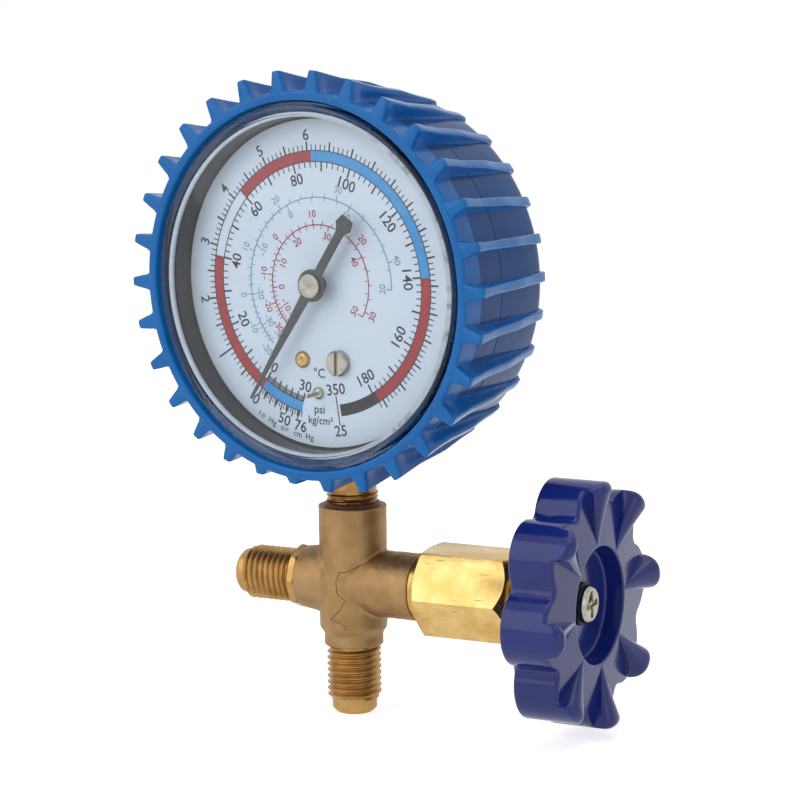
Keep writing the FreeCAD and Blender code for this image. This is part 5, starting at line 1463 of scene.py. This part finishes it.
@dataclass
class DialPrint:
    """Scales, bands, numbers and unit marks on the dial, in millimetres and degrees."""

    low: float = 0.004
    high: float = 0.03
    band_inner: float = 24.5
    band_outer: float = 26.7
    line: float = 0.2
    zero: float = 236.0
    per_psi: float = 1.6408
    per_bar: float = 23.34
    vacuum_end: float = 259.3
    low_red_end: float = 170.5
    high_red_start: float = 137.6
    blue_start: float = 94.1
    blue_end: float = 6.1
    scale_end: float = -57.8
    block_end: float = -79.5
    top_mark: float = 279.0
    digit: float = 3.15
    inner_digits: float = 21.2
    outer_digits: float = 29.8
    fine: float = 0.23
    bold: float = 0.36

    def __post_init__(self) -> None:
        """Starts with no mesh for any ink."""
        self.meshes: dict[Ink, list[bpy.types.Mesh]] = {ink: [] for ink in Ink}

    def ticks(self, ink: Ink, near: float, far: float, width: float, repeat: RingRepeat,
              finishes: Finishes) -> None:
        """Adds a row of ticks.

        Args:
            ink: their ink.
            near, far: the radii of their ends.
            width: how wide each one is.
            repeat: how many, from where and how far apart.
            finishes: the material store.
        """
        half = width / 2
        single = slab([(near, -half), (near, half), (far, -half), (far, half)], self.low, self.high)
        bmesh.ops.recalc_face_normals(single, faces=single.faces)
        self.meshes[ink].append(repeat.apply(single, finishes.of(INK_FINISH[ink])))

    def band(self, ink: Ink, inner: float, outer: float, start: float, end: float,
             lift: float = 0.0) -> None:
        """Adds an arc of ink between two radii and two angles, lifted a little over another."""
        bm = arc_slab(inner, outer, start, end, self.low, self.high + lift)
        bmesh.ops.recalc_face_normals(bm, faces=bm.faces)
        self.meshes[ink].append(mesh_of(bm, "band"))

    def word(self, ink: Ink, text: str, size: float, at: Point, turn: float) -> None:
        """Adds a number or a unit mark.

        Args:
            ink: its ink.
            text: what it says.
            size: the letter size.
            at: its middle.
            turn: how far it is turned, in degrees.
        """
        curve = bpy.data.curves.new("print", "FONT")
        curve.body = text
        curve.size = size
        curve.align_x = "CENTER"
        curve.align_y = "CENTER"
        curve.extrude = (self.high - self.low) / 2
        curve.offset = size * 0.010
        curve.resolution_u = 3
        helper = bpy.data.objects.new("print", curve)
        bpy.context.scene.collection.objects.link(helper)
        graph = bpy.context.evaluated_depsgraph_get()
        mesh = bpy.data.meshes.new_from_object(helper.evaluated_get(graph), depsgraph=graph)
        bpy.data.objects.remove(helper)
        bpy.data.curves.remove(curve)
        mesh.transform(Matrix.Translation((at[0], at[1], (self.high + self.low) / 2))
                       @ Matrix.Rotation(math.radians(turn), 4, "Z"))
        self.meshes[ink].append(mesh)

    def label(self, ink: Ink, text: str, size: float, radius: float, angle: float) -> None:
        """Adds a number that follows the circle, its top outwards above and inwards below."""
        angle %= 360
        turn = angle + 90 if angle > 181 else angle - 90
        self.word(ink, text, size, polar(radius, angle), turn)

    def main_scales(self, finishes: Finishes) -> None:
        """Draws the two outer scales and the coloured band between them."""
        inner, outer = self.band_inner, self.band_outer
        for ink, start, end in ((Ink.BLUE, self.vacuum_end, self.zero + 0.2),
                                (Ink.RED, self.zero + 0.2, self.low_red_end),
                                (Ink.RED, self.high_red_start, self.blue_start),
                                (Ink.BLUE, self.blue_start, self.blue_end),
                                (Ink.RED, self.blue_end, self.scale_end)):
            self.band(ink, inner, outer, end, start)
        half = self.line / 2
        for radius in (inner, outer):
            self.band(Ink.BLACK, radius - half, radius + half, self.scale_end, self.vacuum_end, 0.004)
        for angle in (self.low_red_end, self.high_red_start):
            self.ticks(Ink.BLACK, inner, outer, self.line, RingRepeat(1, angle, 0), finishes)
        self.band(Ink.BLACK, inner - 0.1, outer + 0.1, self.block_end, self.scale_end)
        self.ticks(Ink.BLACK, inner - 1.9, outer + 1.9, 0.25, RingRepeat(1, self.top_mark, 0), finishes)
        # Each scale's ticks: near and far end, width, how many, the first angle and the step
        psi_step, bar_step, vacuum = -self.per_psi, -self.per_bar, self.vacuum_end - self.zero
        for near, far, width, count, first, step in (
            (inner - 1.2, inner, self.fine, 90, self.zero + 2 * psi_step, 2 * psi_step),
            (inner - 1.95, inner, self.bold, 19, self.zero, 10 * psi_step),
            (outer, outer + 1.2, self.fine, 126, self.zero + bar_step / 10, bar_step / 10),
            (outer, outer + 1.85, self.bold, 26, self.zero, bar_step / 2),
            (inner - 1.1, inner, 0.2, 31, self.zero, vacuum / 30),
            (inner - 1.8, inner, 0.32, 7, self.zero, vacuum / 6),
            (outer, outer + 1.1, 0.2, 20, self.zero, vacuum / 19),
            (outer, outer + 1.8, 0.32, 8, self.zero, vacuum / 7.6),
        ):
            self.ticks(Ink.BLACK, near, far, width, RingRepeat(count, first, step), finishes)
        for psi in range(20, 181, 20):
            self.label(Ink.BLACK, str(psi), self.digit, self.inner_digits,
                       self.zero - self.per_psi * psi)
        for text, angle in (("0", 236.5), ("30", 259.0), ("350", 279.4)):
            self.label(Ink.BLACK, text, self.digit, self.inner_digits + 0.2, angle)
        for bar in range(1, 7):
            self.label(Ink.BLACK, str(bar), self.digit, self.outer_digits,
                       self.zero - self.per_bar * bar)
        for text, angle in (("0", 236.0), ("50", 251.4), ("76", 259.5), ("25", 279.0)):
            self.label(Ink.BLACK, text, self.digit, self.outer_digits, angle)
        # The vacuum scale's unit mark runs along the rim, letter by letter
        mark = "in Hg or cm Hg"
        for i, letter in enumerate(mark):
            if letter != " ":
                self.label(Ink.BLACK, letter, 1.75, 31.5, 240.0 + i * 1.95)

    def degree_scale(self, ink: Ink, radius: float, end: float, outer: Sequence[tuple[str, float]],
                     inner: Sequence[tuple[str, float]], finishes: Finishes) -> None:
        """Draws one circle that has a scale on each side.

        Args:
            ink: its ink.
            radius: the circle's radius.
            end: the angle where it ends on the right.
            outer, inner: each scale's numbers and angles.
            finishes: the material store.
        """
        last = max(outer[-1][1], inner[-1][1])
        self.band(ink, radius - 0.12, radius + 0.12, end, last)
        for marks, sign in ((outer, 1), (inner, -1)):
            for (_, start), (_, stop) in zip(marks, marks[1:]):
                for divisions, length, width in ((5, 0.8, 0.17), (1, 1.2, 0.22)):
                    near, far = sorted((radius, radius + sign * length))
                    self.ticks(ink, near, far, width,
                               RingRepeat(divisions, start, (stop - start) / divisions), finishes)
            for text, angle in marks:
                self.label(ink, text, 2.05, radius + sign * 2.15, angle)

    def build(self, finishes: Finishes) -> None:
        """Draws all the print and puts it on the dial, one piece for each ink."""
        self.main_scales(finishes)
        self.degree_scale(
            Ink.RED, 11.9, -30.0,
            (("30", -24.4), ("20", 42.0), ("10", 97.4), ("0", 140.7), ("-10", 174.0), ("-20", 201.5),
             ("-30", 221.0)),
            (("50", -30.0), ("40", 30.4), ("30", 79.0), ("20", 124.0), ("10", 158.0), ("0", 186.5),
             ("-10", 208.7), ("-20", 226.0)), finishes)
        self.degree_scale(
            Ink.SKY, 17.4, -0.5,
            (("40", 17.3), ("30", 76.0), ("20", 123.5), ("10", 160.5), ("0", 189.8), ("-10", 210.0),
             ("-20", 226.0)),
            (("20", -0.3), ("10", 64.5), ("0", 117.4), ("-10", 156.0), ("-20", 190.2),
             ("-30", 212.3), ("-40", 227.0)), finishes)
        for text, size, x, y in (("°C", 2.7, -0.5, -18.1), ("psi", 2.5, -0.57, -25.45),
                                 ("kg/cm²", 2.3, -0.36, -27.7)):
            self.word(Ink.BLACK, text, size, (x, y, 0), 0)
        for ink, meshes in self.meshes.items():
            put(f"print_{ink.value}", merged(meshes), GAUGE, finishes.of(INK_FINISH[ink]),
                "fixed_valve", sharp=Sharpness.CRISP)


# The pointer
@dataclass
class Pointer:
    """The painted pointer with its ring and boss, in millimetres and degrees."""

    low: float = 2.8
    high: float = 3.2
    rest: float = 236.9
    tip: float = 28.4
    tip_half: float = 0.26
    arm_half: float = 1.1
    neck_half: float = 0.95
    ring: float = 3.25
    boss: float = 1.6
    boss_start: float = 1.6
    tail_neck: float = 13.0
    tail_barb: float = 14.4
    tail: float = 16.4
    tail_half: float = 2.0
    bore: float = 0.6

    def build(self, finishes: Finishes) -> None:
        """Builds the pointer and puts it in its place."""
        near = self.ring * 0.85
        outline = [(self.tip, -self.tip_half), (self.tip, self.tip_half), (near, self.arm_half),
                   (-near, self.neck_half), (-self.tail_neck, self.neck_half),
                   (-self.tail_barb, self.tail_half), (-self.tail, self.tail_half * 0.72),
                   (-self.tail, -self.tail_half * 0.72), (-self.tail_barb, -self.tail_half),
                   (-self.tail_neck, -self.neck_half), (-near, -self.neck_half),
                   (near, -self.arm_half)]
        bm = bmesh.new()
        top = [bm.verts.new((x, y, self.high)) for x, y in outline]
        low = [bm.verts.new((x, y, self.low)) for x, y in outline]
        bm.faces.new(top)
        bm.faces.new(low)
        bridge(bm, top, low)
        bmesh.ops.recalc_face_normals(bm, faces=bm.faces)
        bmesh.ops.bevel(bm, geom=[e for e in bm.edges if len({v.co.z for v in e.verts}) == 1],
                        offset=0.07, segments=2, affect="EDGES")
        below, above = self.low - 0.01, self.high + 0.01
        ring = lathe(eased([(self.bore, below, 0), (self.ring, below, 0.08), (self.ring, above, 0.1),
                            (self.bore, above, 0)]), 96)
        boss = lathe([(self.bore, self.boss_start), (self.boss, self.boss_start),
                      (self.boss, self.low + 0.1), (self.bore, self.low + 0.1)], 64)
        mesh = merged([mesh_of(bm, "hand"), mesh_of(ring, "ring"), mesh_of(boss, "boss")])
        mesh.transform(Matrix.Rotation(math.radians(self.rest), 4, "Z"))
        put("pointer_hand", mesh, GAUGE, finishes.of(POINTER_PAINT), "pointer",
            ("pointer",))


# Studio
@dataclass(frozen=True)
class SoftBox:
    """A square lamp: its name, place and side in metres, and its power in watts."""

    name: str
    spot: Point
    size: float
    watts: float

    def build(self, target: Vector) -> None:
        """Makes the lamp and turns it to a point."""
        data = bpy.data.lights.new(self.name, "AREA")
        data.shape = "SQUARE"
        data.size = self.size
        data.energy = self.watts
        lamp = bpy.data.objects.new(self.name, data)
        bpy.context.scene.collection.objects.link(lamp)
        turn = (target - Vector(self.spot)).to_track_quat("-Z", "Y").to_matrix().to_4x4()
        lamp.matrix_world = Matrix.Translation(self.spot) @ turn


# A key in front on the left, a top light and a low fill
SOFT_BOXES = (SoftBox("key", (-0.55, -0.75, 0.55), 1.0, 3.8),
              SoftBox("top", (0.10, 0.05, 0.95), 0.9, 2.2),
              SoftBox("fill", (0.85, -0.35, 0.25), 0.5, 0.5))


def seen_or_mirrored(tree: bpy.types.NodeTree, low: float, high: float) -> bpy.types.NodeSocket:
    """Gives a strength for what the camera sees, straight, mirrored or through glass.

    Args:
        tree: the tree that the nodes go into.
        low: the strength for all other light.
        high: the strength for those rays.

    Returns:
        The output that carries the strength.
    """
    rays = add_node(tree, "ShaderNodeLightPath")
    seen = rays.outputs["Is Camera Ray"]
    for ray in ("Is Glossy Ray", "Is Transmission Ray"):
        seen = add_node(tree, "ShaderNodeMath", {0: seen, 1: rays.outputs[ray]},
                        operation="MAXIMUM").outputs["Value"]
    return add_node(tree, "ShaderNodeMapRange", {
        "Value": seen, "To Min": low, "To Max": high}).outputs["Result"]


@dataclass
class Studio:
    """The floor, the light and the camera."""

    floor_height: float = -0.0029
    floor_half: float = 4.0
    azimuth: float = 0.47646
    elevation: float = 0.155856
    roll: float = -0.009677
    distance_mm: float = 622.35
    focal_px: float = 3057.6
    centre_px: tuple[float, float] = (353.43, 580.445)
    image_px: int = 800
    sensor_mm: float = 36.0
    ambient: float = 0.33
    floor_lift: float = 0.70
    target: Point = (0.01, 0.0, 0.06)

    def camera(self) -> None:
        """Makes the camera that was fitted to the photograph."""
        a, e = self.azimuth, self.elevation
        ahead = Vector((-math.sin(a) * math.cos(e), math.cos(a) * math.cos(e), -math.sin(e)))
        right = Vector((math.cos(a), math.sin(a), 0))
        up = right.cross(ahead)
        c, s = math.cos(self.roll), math.sin(self.roll)
        right, up = right * c + up * s, up * c - right * s
        per_px = self.distance_mm / self.focal_px
        off_x = (self.centre_px[0] - self.image_px / 2) * per_px
        off_y = (self.centre_px[1] - self.image_px / 2) * per_px
        spot = -(right * off_x - up * off_y + ahead * self.distance_mm)
        spot = (spot + Vector((0, 0, AXIS_HEIGHT))) * MM
        data = bpy.data.cameras.new("camera")
        data.sensor_width = self.sensor_mm
        data.lens = self.focal_px * self.sensor_mm / self.image_px
        data.clip_start, data.clip_end = 0.01, 50
        data.dof.use_dof = False
        camera = bpy.data.objects.new("camera", data)
        bpy.context.scene.collection.objects.link(camera)
        turn = Matrix((right, up, -ahead)).transposed().to_4x4()
        camera.matrix_world = Matrix.Translation(spot) @ turn
        bpy.context.scene.camera = camera

    def world(self) -> None:
        """Makes a soft surround, plain white where it is seen, mirrored or seen through glass."""
        world = bpy.data.worlds.new("soft_white")
        bpy.context.scene.world = world
        world.use_nodes = True
        tree = world.node_tree
        tree.nodes.clear()
        light = add_node(tree, "ShaderNodeBackground", {
            "Color": (1, 1, 1, 1), "Strength": seen_or_mirrored(tree, self.ambient, 1.0)})
        add_node(tree, "ShaderNodeOutputWorld", {"Surface": light.outputs["Background"]})

    def floor(self) -> None:
        """Makes the pale floor, which keeps the object's shadow."""
        half = self.floor_half
        bm = bmesh.new()
        bm.faces.new([bm.verts.new((x, y, self.floor_height)) for x, y in
                      ((-half, -half), (half, -half), (half, half), (-half, half))])
        floor = bpy.data.objects.new("floor", mesh_of(bm, "floor"))
        bpy.context.scene.collection.objects.link(floor)
        made = bpy.data.materials.new("pale_floor")
        made.use_nodes = True
        tree = made.node_tree
        tree.nodes.clear()
        paint = add_node(tree, "ShaderNodeBsdfDiffuse", {"Color": linear("#f4f4f4")})
        glow = add_node(tree, "ShaderNodeEmission", {
            "Color": (1, 1, 1, 1), "Strength": seen_or_mirrored(tree, 0.0, self.floor_lift)})
        both = add_node(tree, "ShaderNodeAddShader", {
            0: paint.outputs["BSDF"], 1: glow.outputs["Emission"]})
        add_node(tree, "ShaderNodeOutputMaterial", {"Surface": both.outputs["Shader"]})
        floor.data.materials.append(made)

    def build(self) -> None:
        """Builds the camera, the surround, the floor and the lamps."""
        self.camera()
        self.world()
        self.floor()
        for box in SOFT_BOXES:
            box.build(Vector(self.target))
        bpy.context.scene.view_settings.view_transform = "Standard"
        LOG.info("studio built")


# Nodes that are shown as the CAD has them, by finish
PLAIN_NODES = {
    TURNED_BRASS: ("seat_carrier", "spindle", "dial_spacers", "movement_front_plate",
                   "movement_back_plate", "movement_pillars", "sector_gear", "tube_end_piece",
                   "hairspring_collet", "hairspring_stud"),
    WAXY_WHITE: ("packing_ring", "seat_disc"),
    GASKET: ("lens_gasket",),
    ZINC: ("movement_screws", "pinion_arbor", "link"),
    BRONZE: ("bourdon_tube", "hairspring"),
    ENAMEL: ("dial",),
}

DRESSED_NODES = (
    Dressed("bonnet", POLISHED_BRASS, "fixed_valve", "polished_brass", 0.22),
    Dressed("packing_nut", POLISHED_BRASS, "fixed_valve", "polished_brass", 0.15),
    Dressed("bonnet_washer", TURNED_BRASS, "fixed_valve", "turned_brass", 0.1),
    Dressed("gauge_socket", MILLED_BRASS, "fixed_valve", "forged_brass", 0.12),
    Dressed("thread_seal", SEALANT, "fixed_valve", "thread_sealant", 0.1, Sharpness.SOFT),
    # The wheel's washer is painted near black: painted shade round the screw's head
    Dressed("wheel_washer", WASHER_PAINTED_DARK, "spindle", "steel", 0.08),
    Dressed("wheel_screw", NICKEL, "spindle", "nickel", 0.14),
    Dressed("case_screws", ZINC, "fixed_valve", "steel", 0.1),
    Dressed("dial_rivet", TURNED_BRASS, "fixed_valve", "turned_brass", 0.08),
    Dressed("dial_screw", NICKEL, "fixed_valve", "nickel", 0.12),
    Dressed("stop_pin", NICKEL, "fixed_valve", "nickel", 0.08),
    Dressed("pointer_cap", NICKEL, "pointer", "nickel", 0.06),
)


def main() -> None:
    """Builds the studio and every piece in order."""
    logging.basicConfig(level=logging.INFO, format="%(relativeCreated)6d ms %(message)s")
    finishes = Finishes()
    Studio().build()
    for finish, nodes in PLAIN_NODES.items():
        for node in nodes:
            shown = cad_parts[node]
            shown.data.materials.clear()
            shown.data.materials.append(finishes.of(finish))
            LOG.info("%s keeps its shape and gets %s", node, finish.name)
    for dressed in DRESSED_NODES:
        dressed.build(finishes)
    ValveBlock().build(finishes)
    Handwheel().build(finishes)
    Boot().build(finishes)
    GaugeFront().build(finishes)
    DialPrint().build(finishes)
    Pointer().build(finishes)


if __name__ == "__main__":
    main()
